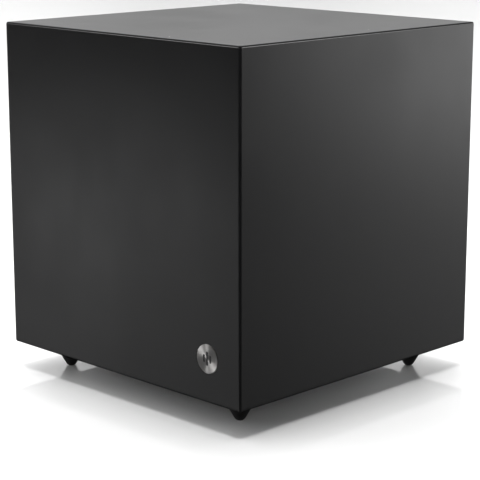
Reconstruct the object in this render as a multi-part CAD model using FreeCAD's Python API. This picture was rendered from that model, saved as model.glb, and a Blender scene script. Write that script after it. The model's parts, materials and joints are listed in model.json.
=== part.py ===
import FreeCAD, Part
import math
import os

# A compact powered subwoofer: a cube-shaped cabinet on four conical feet, with a down-firing
# driver in its floor, and a reflex port and an amplifier plate in its back. Units are millimetres.
# The front faces -Y, +X is to the right of someone facing the front, and +Z is up. The origin is
# on the floor, under the middle of the whole object.

V = FreeCAD.Vector
UP = V(0, 0, 1)
BACK = V(0, 1, 0)
RIGHT = V(1, 0, 0)

# Driving dimensions: cabinet and feet
SIDE = 290.0  # cabinet width, depth and height
WALL = 15.0  # board thickness
EDGE_RADIUS = 2.0
PAST = 1.0  # how far a cut runs past a face
FOOT_HEIGHT = 22.5
FOOT_INSET = 36.0  # foot axis from each outer face
CONTROL_REACH = 14.0  # knob tips behind the cabinet's back

FRONT_Y = -(SIDE + CONTROL_REACH) / 2
REAR_Y = FRONT_Y + SIDE
MID_Y = (FRONT_Y + REAR_Y) / 2
INNER_REAR_Y = REAR_Y - WALL
HALF = SIDE / 2
INNER_HALF = HALF - WALL
BASE_Z = FOOT_HEIGHT
TOP_Z = BASE_Z + SIDE
FLOOR_BOARD_TOP_Z = BASE_Z + WALL

BRACE_Z = 210.0
BRACE_THICKNESS = 12.0
BRACE_WINDOW_HALF = 90.0
BRACE_WINDOW_RADIUS = 20.0
PAD_THICKNESS = 18.0
PAD_BOTTOM_Z = 60.0
PAD_TOP_Z = 200.0
PAD_SIDE_REACH = (-115.0, 57.0)  # along the side walls, from the middle
PAD_FRONT_HALF_WIDTH = 100.0

# Badge
BADGE_X = HALF - 37.0
BADGE_Z = BASE_Z + 37.0
BADGE_RADIUS = 12.25
BADGE_THICKNESS = 1.8
BADGE_CHAMFER = 0.4
BADGE_RECESS_RADIUS = 12.6
BADGE_RECESS_DEPTH = 1.5
MARK_BARS = ((-3.6, 6.4), (0.0, 11.6), (3.6, 6.4))  # each bar's place across and height
MARK_BAR_WIDTH = 2.2
MARK_BAR_CORNER = 0.9
MARK_DEPTH = 0.4
MARK_SUNK = 0.1

# Feet
FOOT_TIP_RADIUS = 5.5
FOOT_FLAT_RADIUS = 2.5
FOOT_COLLAR_Z = 20.5
FOOT_SLOPE = math.radians(30)  # of the cone from vertical
STUD_RADIUS = 3.0
STUD_BOTTOM_Z = 9.0
STUD_TOP_Z = BASE_Z + 13.0
STUD_PLATE_RADIUS = 7.0
STUD_PLATE_Z = 17.0
STUD_PLATE_THICKNESS = 1.5
INSERT_RADIUS = 5.0
INSERT_DEPTH = 14.0

# Driver, on the cabinet's vertical middle line
CUTOUT_RADIUS = 91.0
REBATE_RADIUS = 104.5
REBATE_DEPTH = 5.0
FLANGE_RADIUS = 104.0
FLANGE_INNER_RADIUS = 85.5
FLANGE_FACE_Z = BASE_Z + 1.0
FLANGE_THICKNESS = 3.0
FLANGE_TOP_Z = FLANGE_FACE_Z + FLANGE_THICKNESS
GASKET_THICKNESS = 1.0
BASKET_EDGE = 1.0  # between the basket and the cutout, and between the gasket and the cutout
BASKET_LEDGE_Z = 64.5
BASKET_LEDGE_RADII = (48.0, 56.0)
BASKET_WAIST_RADIUS = 60.0
BASKET_WAIST_Z = BASKET_LEDGE_Z + 2.5
BASKET_SEAT_RADIUS = 52.0
BASKET_BORE_RADIUS = 24.0
BASKET_RIM = 2.0  # thickness of the flange where the spokes leave it
BASKET_SEAT_Z = 78.0
BASKET_TOP_Z = 81.0
BASKET_SPOKES = 6
BASKET_WINDOW_DEGREES = 40.0
WINDOW_BOTTOM_Z = 31.0
WINDOW_TOP_Z = 58.0
SURROUND_THICKNESS = 0.8
SURROUND_LANDING_RADIUS = 93.0
SURROUND_GLUE_WIDTH = 0.5  # step between the rubber and the cone's first slope
ROLL_MIDDLE_RADIUS = 79.0
ROLL_HALF_WIDTH = 7.4
CONE_LIP_RADIUS = 71.5
CONE_LIP_INNER_RADIUS = 66.0
CONE_LIP_THICKNESS = 1.2
CONE_LIP_STEP = 0.4
CONE_NECK_Z = 58.0
CONE_NECK_THICKNESS = 1.5
CAP_RADIUS = 32.0
CAP_APEX_Z = 39.0
CAP_THICKNESS = 0.9
FORMER_RADIUS = 19.3
FORMER_WALL = 0.3
FORMER_BOTTOM_Z = 52.0
FORMER_TOP_Z = 97.0
WINDING_RADIUS = 20.2
WINDING_BOTTOM_Z = 73.0
WINDING_TOP_Z = 95.0
SPIDER_INNER_RADIUS = 19.6
SPIDER_OUTER_RADIUS = 55.0
SPIDER_LANDING_RADIUS = 48.5
SPIDER_THICKNESS = 0.8
SPIDER_WAVE = 1.2
SPIDER_FOLDS = 9
SPIDER_NECK = 4.0  # flat ring round the coil
SPIDER_RIM = 1.5  # flat ring inside the landing
TOP_PLATE_RADIUS = 54.0
TOP_PLATE_BORE = 20.7
TOP_PLATE_THICKNESS = 6.0
MAGNET_RADIUS = 60.0
MAGNET_BORE = 30.0
MAGNET_THICKNESS = 20.0
MAGNET_Z = BASKET_TOP_Z + TOP_PLATE_THICKNESS
YOKE_Z = MAGNET_Z + MAGNET_THICKNESS
YOKE_RADIUS = 57.0
YOKE_THICKNESS = 7.0
POLE_RADIUS = 18.4
POLE_BOTTOM_Z = 79.0
POLE_VENT_RADIUS = 6.0
YOKE_CHAMFER = 2.0
POLE_CHAMFER = 1.0
DRIVER_SCREWS = 8
DRIVER_SCREW_CIRCLE = 98.5
DRIVER_SCREW_RADIUS = 2.0
DRIVER_SCREW_TIP_Z = BASE_Z + 13.5
SCREW_HEAD_RADIUS = 3.6
SCREW_HEAD_HEIGHT = 2.4
SCREW_SOCKET = 1.5
SCREW_SOCKET_DEPTH = 1.5
SCREW_HEAD_ROUND = 1.0

# Terminals and flexible leads of the driver, on its +X side
BOSS_X = 70.0
BOSS_ROOT_X = 61.0
BOSS_Z = (59.0, 65.0)
BOSS_HALF_WIDTH = 9.0
STRIP_THICKNESS = 1.6
STRIP_HALF_WIDTH = 11.0
STRIP_Z = (54.5, 70.0)
TAG_OFFSET = 6.0
TAG_HALF_WIDTH = 2.4
TAG_THICKNESS = 0.8
TAG_Z = (60.0, 78.0)
TINSEL_RADIUS = 0.8
TINSEL_START = (35.0, 5.0)  # out from the driver's axis, and to the side
TINSEL_MIDDLE = (53.0, 5.5)
TINSEL_LIFT = 2.0

# Reflex port
PORT_Z = 258.0
PORT_BORE = 25.0
PORT_WALL = 2.5
PORT_SLEEVE_RADIUS = 30.0
PORT_FLANGE_RADIUS = 39.0
PORT_PROUD = 2.5
PORT_FLARE = 12.5
PORT_EDGE = 1.5
PORT_SOCKET_Y = 120.0
PORT_SLEEVE_Y = 108.0
PORT_BEND_Y = -50.0
PORT_INNER_FLARE = 9.0

# Amplifier plate
PLATE_HALF_WIDTH = 90.0
PLATE_Z = (52.0, 206.0)
PLATE_THICKNESS = 2.5
PLATE_CORNER = 6.0
PLATE_GAP = 0.5
PLATE_INNER_Y = REAR_Y - PLATE_THICKNESS
AMP_GASKET_THICKNESS = 1.0
AMP_CUTOUT_HALF_WIDTH = 80.0
AMP_CUTOUT_Z = (62.0, 196.0)
AMP_SCREW_RADIUS = 1.9
AMP_SCREW_TIP_Y = REAR_Y - 12.0
AMP_SCREW_PLACES = [(x, z) for x in (-85.0, 85.0) for z in (57.0, 129.0, 201.0)]
AMP_SCREW_PLACES += [(x, z) for x in (-28.0, 28.0) for z in (57.0, 201.0)]

# Controls on the amplifier plate
CONTROL_Z = 176.0
LEVEL_X = 52.0
CROSSOVER_X = 8.0
PHASE_X = -34.0
AUTO_X = -66.0
KNOB_GAP = 0.6
KNOB_TIP_Y = REAR_Y + CONTROL_REACH
KNOB_BASE_RADIUS = 11.0
KNOB_TIP_RADIUS = 10.2
KNOB_RECESS_RADIUS = 7.0
KNOB_RECESS_DEPTH = 4.0
KNOB_FLUTES = 24
KNOB_FLUTE_RADIUS = 0.7
KNOB_LINE_WIDTH = 1.2
KNOB_LINE_DEPTH = 0.5
KNOB_LINE_START = 3.0
KNOB_CHAMFER = 0.8
KNOB_FLUTE_START = 2.0
SHAFT_RADIUS = 3.0
SHAFT_CLEARANCE = 0.05
SHAFT_TIP_Y = REAR_Y + 11.0
BUSHING_RADIUS = 3.5
BUSHING_PROUD = 3.0
POT_BODY_RADIUS = 8.0
POT_BODY_LENGTH = 8.0
POT_FLOOR = 2.0
POT_SHAFT_GAP = 0.2
POT_NUT_RADIUS = 5.6
POT_NUT_HEIGHT = 2.0
SWITCH_TRAVEL = 4.0
SWITCH_STEM_HALF = (2.0, 1.8)
SWITCH_STEM_CORNER = 0.5
SWITCH_STEM_TIP_Y = REAR_Y + 5.0
SWITCH_WINDOW_HALF = (4.3, 2.1)
SWITCH_BODY_HALF = (9.0, 4.5)
SWITCH_CARRIAGE_HALF = (3.4, 2.4)
SWITCH_CARRIAGE_Y = (129.0, 131.2)
SWITCH_PLAY = 0.3

# Line inputs, status lamp
INPUT_XS = (58.0, 38.0)
INPUT_Z = 128.0
INPUT_COLLAR_RADIUS = 6.0
INPUT_COLLAR_Y = REAR_Y + 1.2
INPUT_SLEEVE_RADIUS = 4.15
INPUT_ROOT_RADIUS = 4.6  # the sleeve's thicker root, inside the block and the collar
INPUT_SLEEVE_BORE = 3.4
INPUT_TIP_Y = REAR_Y + 9.0
INPUT_CORE_Y = REAR_Y + 7.5
INPUT_CONTACT_RADIUS = 2.1
INPUT_CONTACT_BORE = 1.65
INPUT_BACK_Y = 129.0
INPUT_BLOCK_HALF_HEIGHT = 10.0
INPUT_BLOCK_MARGIN = 10.0
LAMP_X = -66.0
LAMP_Z = 140.0
LAMP_RADIUS = 1.5
LAMP_TIP_Y = REAR_Y + 1.2

# Mains inlet with fuse drawer
INLET_X = -45.0
INLET_Z = 92.0
INLET_FLANGE_HALF = (24.0, 19.0)
INLET_FLANGE_Y = REAR_Y + 2.5
INLET_FLANGE_CORNER = 3.0
INLET_FLANGE_CHAMFER = 0.6
INLET_BODY_HALF = (14.0, 16.5)
INLET_BACK_Y = 112.0
PLUG_WELL_HALF = (12.25, 8.25)
PLUG_WELL_Z = INLET_Z + 5.0
PLUG_WELL_Y = 123.5
PLUG_WELL_CHAMFER = 4.0
BLADE_HALF = (1.0, 2.0)
BLADE_PITCH = 7.0
BLADE_RISE = 2.0
BLADE_TIP_Y = 135.0
BLADE_BACK_Y = 110.0
DRAWER_Z = INLET_Z - 10.0
DRAWER_SLOT_HALF = (12.0, 3.6)
DRAWER_SLOT_Y = 120.5
DRAWER_HALF = (11.8, 3.4)
DRAWER_BACK_Y = 122.5
DRAWER_LIP_HALF = (13.0, 4.2)
DRAWER_LIP_GAP = 0.1
DRAWER_LIP_THICKNESS = 1.6
DRAWER_LIP_CORNER = 1.0
FUSE_Y = 131.0
FUSE_RISE = 0.6
FUSE_PLAY = 0.1
FUSE_RADIUS = 2.5
FUSE_GLASS_RADIUS = 2.3
FUSE_HALF_LENGTH = 10.0
FUSE_CAP_LENGTH = 5.0

# Power rocker
ROCKER_X = 8.0
ROCKER_Z = 92.0
ROCKER_BEZEL_Y = REAR_Y + 2.0
ROCKER_PIVOT_Y = ROCKER_BEZEL_Y - 5.0
ROCKER_RADIUS = 9.4
ROCKER_CLEARANCE = 0.2
ROCKER_HALF_WIDTH = 5.0
ROCKER_TILT = 10.0
ROCKER_ROUND_ANGLE = 0.3  # radians, to the middle of each round end
ROCKER_SKIRT = -1.0  # where the round ends stop, out from the pivot
ROCKER_KEEL = (2.5, -5.0)
ROCKER_VALLEY = 6.0  # pivot to the middle of the rocker's face
ROCKER_BEZEL_HALF = (7.75, 12.0)
ROCKER_BEZEL_CORNER = 1.5
ROCKER_BODY_HALF = (6.5, 10.6)
ROCKER_BACK_Y = 124.0
TRUNNION_RADIUS = 1.2
TRUNNION_CLEARANCE = 0.05
TRUNNION_REACH = 1.0
TRUNNION_END_PLAY = 0.1

# Electronics behind the plate
CONTROL_BOARD_Y = (124.4, 126.0)
CONTROL_BOARD_X = (-78.0, 72.0)
CONTROL_BOARD_Z = (116.0, 188.0)
AMP_BOARD_Y = (96.0, 97.6)
AMP_BOARD_X = (-78.0, 16.0)
AMP_BOARD_Z = (64.0, 196.0)
SPACER_RADIUS = 3.0
SPACER_PLACES = [(x, z) for x in (-74.0, 12.0) for z in (68.0, 192.0)]
CAPACITOR_PLACES = ((-62.0, 84.0), (-38.0, 84.0), (-62.0, 110.0))
CAPACITOR_RADIUS = 9.0
CAPACITOR_LENGTH = 30.0
CAPACITOR_ROUND = 1.5
HEAT_SINK_X = (-16.0, 12.0)
HEAT_SINK_Z = (122.0, 186.0)
HEAT_SINK_BASE = 6.0
HEAT_SINK_DEPTH = 30.0
HEAT_SINK_FINS = 6
HEAT_SINK_FIN = 2.0
TRANSFORMER_X = 50.0
TRANSFORMER_Z = 88.0
TRANSFORMER_HALF = (26.0, 21.0)
TRANSFORMER_STACK_Y = (104.0, 126.0)
TRANSFORMER_COIL_Y = (98.0, 132.0)
TRANSFORMER_WINDOW_HALF = (17.0, 14.0)
TRANSFORMER_LEG_HALF = 8.0
TRANSFORMER_FOOT_WIDTH = 6.0
TRANSFORMER_FOOT_HALF_HEIGHT = 8.0
COIL_PLAY = 0.5
LEAD_RADIUS = 1.3
LEAD_BEND = 4.0
SPEAKER_RUNS = ((1, 92.0, 61.0), (-1, 98.0, 67.0))  # side of the tag, height, and how far back
SPEAKER_END_X = 10.0
LIVE_RUN_Y = 103.5
SWITCHED_RUN_Y = 112.0
SWITCHED_DROP = 5.0
RETURN_Z = 80.0
RETURN_STEP = (10.0, 107.5)  # out from the core, and the depth at which it reaches the core
RETURN_BEND = 1.9


def box(x, y, z):
    """A block between two places on each axis."""
    return Part.makeBox(x[1] - x[0], y[1] - y[0], z[1] - z[0], V(x[0], y[0], z[0]))


def around(middle, half):
    """The two places a half-width each side of a middle."""
    return (middle - half, middle + half)


def rod_up(radius, z, x=0.0, y=MID_Y):
    return Part.makeCylinder(radius, z[1] - z[0], V(x, y, z[0]), UP)


def rod_back(radius, y, x, z):
    return Part.makeCylinder(radius, y[1] - y[0], V(x, y[0], z), BACK)


def rod_right(radius, x, y, z):
    return Part.makeCylinder(radius, x[1] - x[0], V(x[0], y, z), RIGHT)


def ring_up(outer, inner, z, x=0.0, y=MID_Y):
    return rod_up(outer, z, x, y).cut(rod_up(inner, z, x, y))


def outline(steps, place):
    """A closed flat face. Each step is a corner, or a pair of a point on an arc and its end."""
    start = here = place(*steps[0])
    edges = []
    for step in steps[1:] + [steps[0]]:
        if isinstance(step[0], tuple):
            middle, end = place(*step[0]), place(*step[1])
            edges.append(Part.Arc(here, middle, end).toShape())
        else:
            end = place(*step)
            edges.append(Part.LineSegment(here, end).toShape())
        here = end
    assert here.distanceToPoint(start) < 1e-6
    return Part.Face(Part.Wire(edges))


def turned_up(steps, x=0.0, y=MID_Y):
    """A turned solid on a vertical axis, from corners given as (radius, z)."""
    face = outline(steps, lambda r, z: V(x + r, y, z))
    return face.revolve(V(x, y, 0), UP, 360)


def turned_back(steps, x, z):
    """A turned solid on an axis along Y, from corners given as (radius, y)."""
    face = outline(steps, lambda r, y: V(x + r, y, z))
    return face.revolve(V(x, 0, z), BACK, 360)


def rounded_plate(x, y, z, radius):
    """A plate across Y with its four corners rounded."""
    plate = box(x, y, z)
    corners = [e for e in plate.Edges if abs(e.tangentAt(e.FirstParameter).y) > 0.99]
    return plate.makeFillet(radius, corners)


def arc_middle(radius, edge_z, apex_z):
    """The point halfway along an arc from the axis at apex_z out to the radius at edge_z."""
    rise = edge_z - apex_z
    curve = (radius**2 + rise**2) / (2 * rise)
    half_angle = math.asin(radius / curve) / 2
    return (curve * math.sin(half_angle), apex_z + curve * (1 - math.cos(half_angle)))


def lead(points, radius=LEAD_RADIUS, bend=LEAD_BEND):
    """A round wire along straight runs that are joined by arcs tangent to both."""
    corners = [V(*p) for p in points]
    edges = []
    here = corners[0]
    for before, corner, after in zip(corners, corners[1:], corners[2:]):
        towards_before = (before - corner).normalize()
        towards_after = (after - corner).normalize()
        half_turn = (math.pi - towards_before.getAngle(towards_after)) / 2
        reach = bend * math.tan(half_turn)
        enter = corner + towards_before * reach
        leave = corner + towards_after * reach
        inward = (towards_before + towards_after).normalize()
        middle = corner + inward * (bend / math.cos(half_turn) - bend)
        edges.append(Part.LineSegment(here, enter).toShape())
        edges.append(Part.Arc(enter, middle, leave).toShape())
        here = leave
    edges.append(Part.LineSegment(here, corners[-1]).toShape())
    path = Part.Wire(edges)
    start = Part.Circle(corners[0], corners[1] - corners[0], radius).toShape()
    return path.makePipeShell([Part.Wire([start])], True, False)


def screw_up(x, y, head_z, tip_z, radius):
    """A pan-head screw that points up, with a square drive socket in its head."""
    head = rod_up(SCREW_HEAD_RADIUS, (head_z - SCREW_HEAD_HEIGHT, head_z), x, y)
    head = head.makeFillet(SCREW_HEAD_ROUND, [lowest_rim(head)])
    socket_z = around(head_z - SCREW_HEAD_HEIGHT, SCREW_SOCKET_DEPTH)
    socket = box(around(x, SCREW_SOCKET), around(y, SCREW_SOCKET), socket_z)
    return head.cut(socket).fuse(rod_up(radius, (head_z, tip_z), x, y)).removeSplitter()


def screw_forward(x, z, head_y, tip_y, radius):
    """A pan-head screw that points towards -Y, with a square drive socket in its head."""
    head = rod_back(SCREW_HEAD_RADIUS, (head_y, head_y + SCREW_HEAD_HEIGHT), x, z)
    face_y = head_y + SCREW_HEAD_HEIGHT
    head = head.makeFillet(SCREW_HEAD_ROUND, [e for e in head.Edges if e.BoundBox.YMin > face_y - 0.01])
    socket = box(around(x, SCREW_SOCKET), around(face_y, SCREW_SOCKET_DEPTH), around(z, SCREW_SOCKET))
    return head.cut(socket).fuse(rod_back(radius, (tip_y, head_y), x, z)).removeSplitter()


def lowest_rim(solid):
    bottom = solid.BoundBox.ZMin
    return [e for e in solid.Edges if e.BoundBox.ZMax < bottom + 0.01][0]


def four_places():
    """The middle of each foot: name ending, x and y."""
    rows = (("front", MID_Y - HALF + FOOT_INSET), ("rear", MID_Y + HALF - FOOT_INSET))
    columns = (("left", -HALF + FOOT_INSET), ("right", HALF - FOOT_INSET))
    return [(row + "_" + column, x, y) for row, y in rows for column, x in columns]


def driver_screw_places():
    places = []
    for n in range(DRIVER_SCREWS):
        angle = math.radians(360 / DRIVER_SCREWS * (n + 0.5))
        x = DRIVER_SCREW_CIRCLE * math.cos(angle)
        y = MID_Y + DRIVER_SCREW_CIRCLE * math.sin(angle)
        places.append((x, y))
    return places


def driver_screw_holes(z):
    return [rod_up(DRIVER_SCREW_RADIUS, z, x, y) for x, y in driver_screw_places()]


def amp_screw_holes(y):
    return [rod_back(AMP_SCREW_RADIUS, y, x, z) for x, z in AMP_SCREW_PLACES]


# Cabinet


def cabinet_walls():
    """The whole cabinet as one hollow cube with rounded outer edges."""
    outside = box((-HALF, HALF), (FRONT_Y, REAR_Y), (BASE_Z, TOP_Z))
    outside = outside.makeFillet(EDGE_RADIUS, outside.Edges)
    inside = box(around(0, INNER_HALF), around(MID_Y, INNER_HALF), (FLOOR_BOARD_TOP_Z, TOP_Z - WALL))
    return outside.cut(inside)


def mitred_panel(normal, across, up):
    """One board of the cabinet: what lies between four 45-degree planes from the middle."""
    middle = V(0, MID_Y, BASE_Z + HALF)
    reach = HALF * 1.2
    corners = []
    for a, b in ((-1, -1), (1, -1), (1, 1), (-1, 1)):
        corners.append(middle + normal * reach + across * (a * reach) + up * (b * reach))
    faces = [Part.Face(Part.makePolygon(corners + corners[:1]))]
    for a, b in zip(corners, corners[1:] + corners[:1]):
        faces.append(Part.Face(Part.makePolygon([a, b, middle, a])))
    wedge = Part.makeSolid(Part.makeShell(faces))
    return cabinet_walls().common(wedge)


def top_panel():
    return mitred_panel(UP, RIGHT, BACK)


def left_panel():
    return mitred_panel(-RIGHT, BACK, UP)


def right_panel():
    return mitred_panel(RIGHT, BACK, UP)


def bottom_panel():
    panel = mitred_panel(-UP, RIGHT, BACK)
    panel = panel.cut(rod_up(CUTOUT_RADIUS, (BASE_Z - PAST, FLOOR_BOARD_TOP_Z + PAST)))
    panel = panel.cut(rod_up(REBATE_RADIUS, (BASE_Z - PAST, BASE_Z + REBATE_DEPTH)))
    panel = panel.cut(driver_screw_holes((BASE_Z, DRIVER_SCREW_TIP_Z)))
    insert_z = (BASE_Z - PAST, BASE_Z + INSERT_DEPTH)
    inserts = [rod_up(INSERT_RADIUS, insert_z, x, y) for _, x, y in four_places()]
    return panel.cut(inserts)


def front_panel():
    panel = mitred_panel(-BACK, RIGHT, UP)
    recess_y = (FRONT_Y - PAST, FRONT_Y + BADGE_RECESS_DEPTH)
    return panel.cut(rod_back(BADGE_RECESS_RADIUS, recess_y, BADGE_X, BADGE_Z))


def rear_panel():
    panel = mitred_panel(BACK, RIGHT, UP)
    width = PLATE_HALF_WIDTH + PLATE_GAP
    height = (PLATE_Z[0] - PLATE_GAP, PLATE_Z[1] + PLATE_GAP)
    rebate_y = PLATE_INNER_Y - AMP_GASKET_THICKNESS
    rebate = rounded_plate(around(0, width), (rebate_y, REAR_Y + PAST), height, PLATE_CORNER)
    cutout = box(around(0, AMP_CUTOUT_HALF_WIDTH), (INNER_REAR_Y - PAST, REAR_Y), AMP_CUTOUT_Z)
    port = rod_back(PORT_SLEEVE_RADIUS, (INNER_REAR_Y - PAST, REAR_Y + PAST), 0, PORT_Z)
    return panel.cut([rebate, cutout, port] + amp_screw_holes((AMP_SCREW_TIP_Y, REAR_Y)))


def window_brace():
    """A shelf glued to four walls, with a large window in it."""
    height = (BRACE_Z, BRACE_Z + BRACE_THICKNESS)
    shelf = box(around(0, INNER_HALF), around(MID_Y, INNER_HALF), height)
    window = box(around(0, BRACE_WINDOW_HALF), around(MID_Y, BRACE_WINDOW_HALF), height)
    corners = [e for e in window.Edges if abs(e.tangentAt(e.FirstParameter).z) > 0.99]
    return shelf.cut(window.makeFillet(BRACE_WINDOW_RADIUS, corners))


def wadding_pads():
    """Damping pads on the two side walls and the front wall."""
    height = (PAD_BOTTOM_Z, PAD_TOP_Z)
    side_y = (MID_Y + PAD_SIDE_REACH[0], MID_Y + PAD_SIDE_REACH[1])
    right = box((INNER_HALF - PAD_THICKNESS, INNER_HALF), side_y, height)
    left = box((-INNER_HALF, PAD_THICKNESS - INNER_HALF), side_y, height)
    front_y = MID_Y - INNER_HALF
    front = box(around(0, PAD_FRONT_HALF_WIDTH), (front_y, front_y + PAD_THICKNESS), height)
    return [left, right, front]


# Badge


def mark_bars(y):
    bars = []
    for across, height in MARK_BARS:
        x = around(BADGE_X + across, MARK_BAR_WIDTH / 2)
        bars.append(rounded_plate(x, y, around(BADGE_Z, height / 2), MARK_BAR_CORNER))
    return bars


def badge_disc():
    back_y = FRONT_Y + BADGE_RECESS_DEPTH
    front_y = back_y - BADGE_THICKNESS
    disc = rod_back(BADGE_RADIUS, (front_y, back_y), BADGE_X, BADGE_Z)
    disc = disc.makeChamfer(BADGE_CHAMFER, [e for e in disc.Edges if e.BoundBox.YMax < front_y + 0.01])
    return disc.cut(mark_bars((front_y - PAST, front_y + MARK_DEPTH)))


def badge_mark():
    """A generic mark of three level bars, inlaid in the badge."""
    front_y = FRONT_Y + BADGE_RECESS_DEPTH - BADGE_THICKNESS
    return mark_bars((front_y + MARK_SUNK, front_y + MARK_DEPTH))


# Feet


def foot(x, y):
    """A rubber cone with a rounded tip, a small flat to stand on, and a steel stud moulded in."""
    ball_z = math.sqrt(FOOT_TIP_RADIUS**2 - FOOT_FLAT_RADIUS**2)
    cone_start = (
        FOOT_TIP_RADIUS * math.cos(FOOT_SLOPE),
        ball_z - FOOT_TIP_RADIUS * math.sin(FOOT_SLOPE),
    )
    collar_radius = cone_start[0] + (FOOT_COLLAR_Z - cone_start[1]) * math.tan(FOOT_SLOPE)
    flat_angle = math.acos(FOOT_FLAT_RADIUS / FOOT_TIP_RADIUS)
    middle_angle = (flat_angle + FOOT_SLOPE) / 2
    tip_middle = (
        FOOT_TIP_RADIUS * math.cos(middle_angle),
        ball_z - FOOT_TIP_RADIUS * math.sin(middle_angle),
    )
    steps = [
        (0, 0),
        (FOOT_FLAT_RADIUS, 0),
        (tip_middle, cone_start),
        (collar_radius, FOOT_COLLAR_Z),
        (collar_radius, FOOT_HEIGHT),
        (0, FOOT_HEIGHT),
    ]
    return turned_up(steps, x, y).cut(stud(x, y))


def stud(x, y):
    plate_z = (STUD_PLATE_Z, STUD_PLATE_Z + STUD_PLATE_THICKNESS)
    shank = rod_up(STUD_RADIUS, (STUD_BOTTOM_Z, STUD_TOP_Z), x, y)
    return shank.fuse(rod_up(STUD_PLATE_RADIUS, plate_z, x, y)).removeSplitter()


def foot_studs():
    return [stud(x, y) for _, x, y in four_places()]


def foot_inserts():
    """Threaded inserts in the floor board, which the studs screw into."""
    height = (BASE_Z, BASE_Z + INSERT_DEPTH)
    return [ring_up(INSERT_RADIUS, STUD_RADIUS, height, x, y) for _, x, y in four_places()]


# Driver


def driver_basket():
    """A cast frame: flange, sloping spokes, a ledge for the spider and a seat for the motor."""
    steps = [
        (FLANGE_INNER_RADIUS, FLANGE_FACE_Z),
        (FLANGE_RADIUS, FLANGE_FACE_Z),
        (FLANGE_RADIUS, FLANGE_TOP_Z),
        (CUTOUT_RADIUS - BASKET_EDGE, FLANGE_TOP_Z),
        (BASKET_WAIST_RADIUS, BASKET_WAIST_Z),
        (BASKET_SEAT_RADIUS, BASKET_TOP_Z),
        (BASKET_BORE_RADIUS, BASKET_TOP_Z),
        (BASKET_BORE_RADIUS, BASKET_SEAT_Z),
        (BASKET_LEDGE_RADII[0], BASKET_SEAT_Z),
        (BASKET_LEDGE_RADII[0], BASKET_LEDGE_Z),
        (BASKET_LEDGE_RADII[1], BASKET_LEDGE_Z),
        (FLANGE_INNER_RADIUS, FLANGE_FACE_Z + BASKET_RIM),
    ]
    basket = turned_up(steps)
    basket = basket.fuse(box((BOSS_ROOT_X, BOSS_X), around(MID_Y, BOSS_HALF_WIDTH), BOSS_Z))
    height = WINDOW_TOP_Z - WINDOW_BOTTOM_Z
    for n in range(BASKET_SPOKES):
        foot_of_axis = V(0, MID_Y, WINDOW_BOTTOM_Z)
        window = Part.makeCylinder(FLANGE_RADIUS, height, foot_of_axis, UP, BASKET_WINDOW_DEGREES)
        turn = 360 / BASKET_SPOKES * n - BASKET_WINDOW_DEGREES / 2
        window.rotate(foot_of_axis, UP, turn)
        basket = basket.cut(window)
    return basket.cut(driver_screw_holes((FLANGE_FACE_Z, FLANGE_TOP_Z)))


def driver_gasket():
    height = (FLANGE_TOP_Z, FLANGE_TOP_Z + GASKET_THICKNESS)
    gasket = ring_up(FLANGE_RADIUS, CUTOUT_RADIUS + BASKET_EDGE, height)
    return gasket.cut(driver_screw_holes(height))


def cone_surround():
    """A rubber half roll between the flange and the lip of the cone, bulging down."""
    top = FLANGE_FACE_Z
    bottom = top - SURROUND_THICKNESS
    outer, inner = ROLL_MIDDLE_RADIUS + ROLL_HALF_WIDTH, ROLL_MIDDLE_RADIUS - ROLL_HALF_WIDTH
    lowest = bottom - ROLL_HALF_WIDTH
    steps = [
        (SURROUND_LANDING_RADIUS, top),
        (SURROUND_LANDING_RADIUS, bottom),
        (outer, bottom),
        ((ROLL_MIDDLE_RADIUS, lowest), (inner, bottom)),
        (CONE_LIP_INNER_RADIUS + SURROUND_GLUE_WIDTH, bottom),
        (CONE_LIP_INNER_RADIUS + SURROUND_GLUE_WIDTH, top),
        (inner + SURROUND_THICKNESS, top),
        ((ROLL_MIDDLE_RADIUS, lowest + SURROUND_THICKNESS), (outer - SURROUND_THICKNESS, top)),
    ]
    return turned_up(steps)


def cone_face_z(radius):
    """The height of the cone's lower face at a radius."""
    slope = (CONE_NECK_Z - FLANGE_FACE_Z) / (CONE_LIP_INNER_RADIUS - FORMER_RADIUS)
    return FLANGE_FACE_Z + (CONE_LIP_INNER_RADIUS - radius) * slope


def driver_cone():
    lip_top = FLANGE_FACE_Z + CONE_LIP_THICKNESS
    steps = [
        (CONE_LIP_RADIUS, FLANGE_FACE_Z),
        (CONE_LIP_INNER_RADIUS, FLANGE_FACE_Z),
        (FORMER_RADIUS, CONE_NECK_Z),
        (FORMER_RADIUS, CONE_NECK_Z + CONE_NECK_THICKNESS),
        (CONE_LIP_INNER_RADIUS + CONE_LIP_STEP, lip_top),
        (CONE_LIP_RADIUS, lip_top),
    ]
    return turned_up(steps)


def dust_cap():
    outer_z = cone_face_z(CAP_RADIUS)
    inner_radius = CAP_RADIUS - CAP_THICKNESS
    inner_z = cone_face_z(inner_radius)
    apex_top = CAP_APEX_Z + CAP_THICKNESS
    steps = [
        (0, CAP_APEX_Z),
        (arc_middle(CAP_RADIUS, outer_z, CAP_APEX_Z), (CAP_RADIUS, outer_z)),
        (inner_radius, inner_z),
        (arc_middle(inner_radius, inner_z, apex_top), (0, apex_top)),
    ]
    return turned_up(steps)


def coil_former():
    return ring_up(FORMER_RADIUS, FORMER_RADIUS - FORMER_WALL, (FORMER_BOTTOM_Z, FORMER_TOP_Z))


def coil_winding():
    return ring_up(WINDING_RADIUS, FORMER_RADIUS, (WINDING_BOTTOM_Z, WINDING_TOP_Z))


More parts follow.
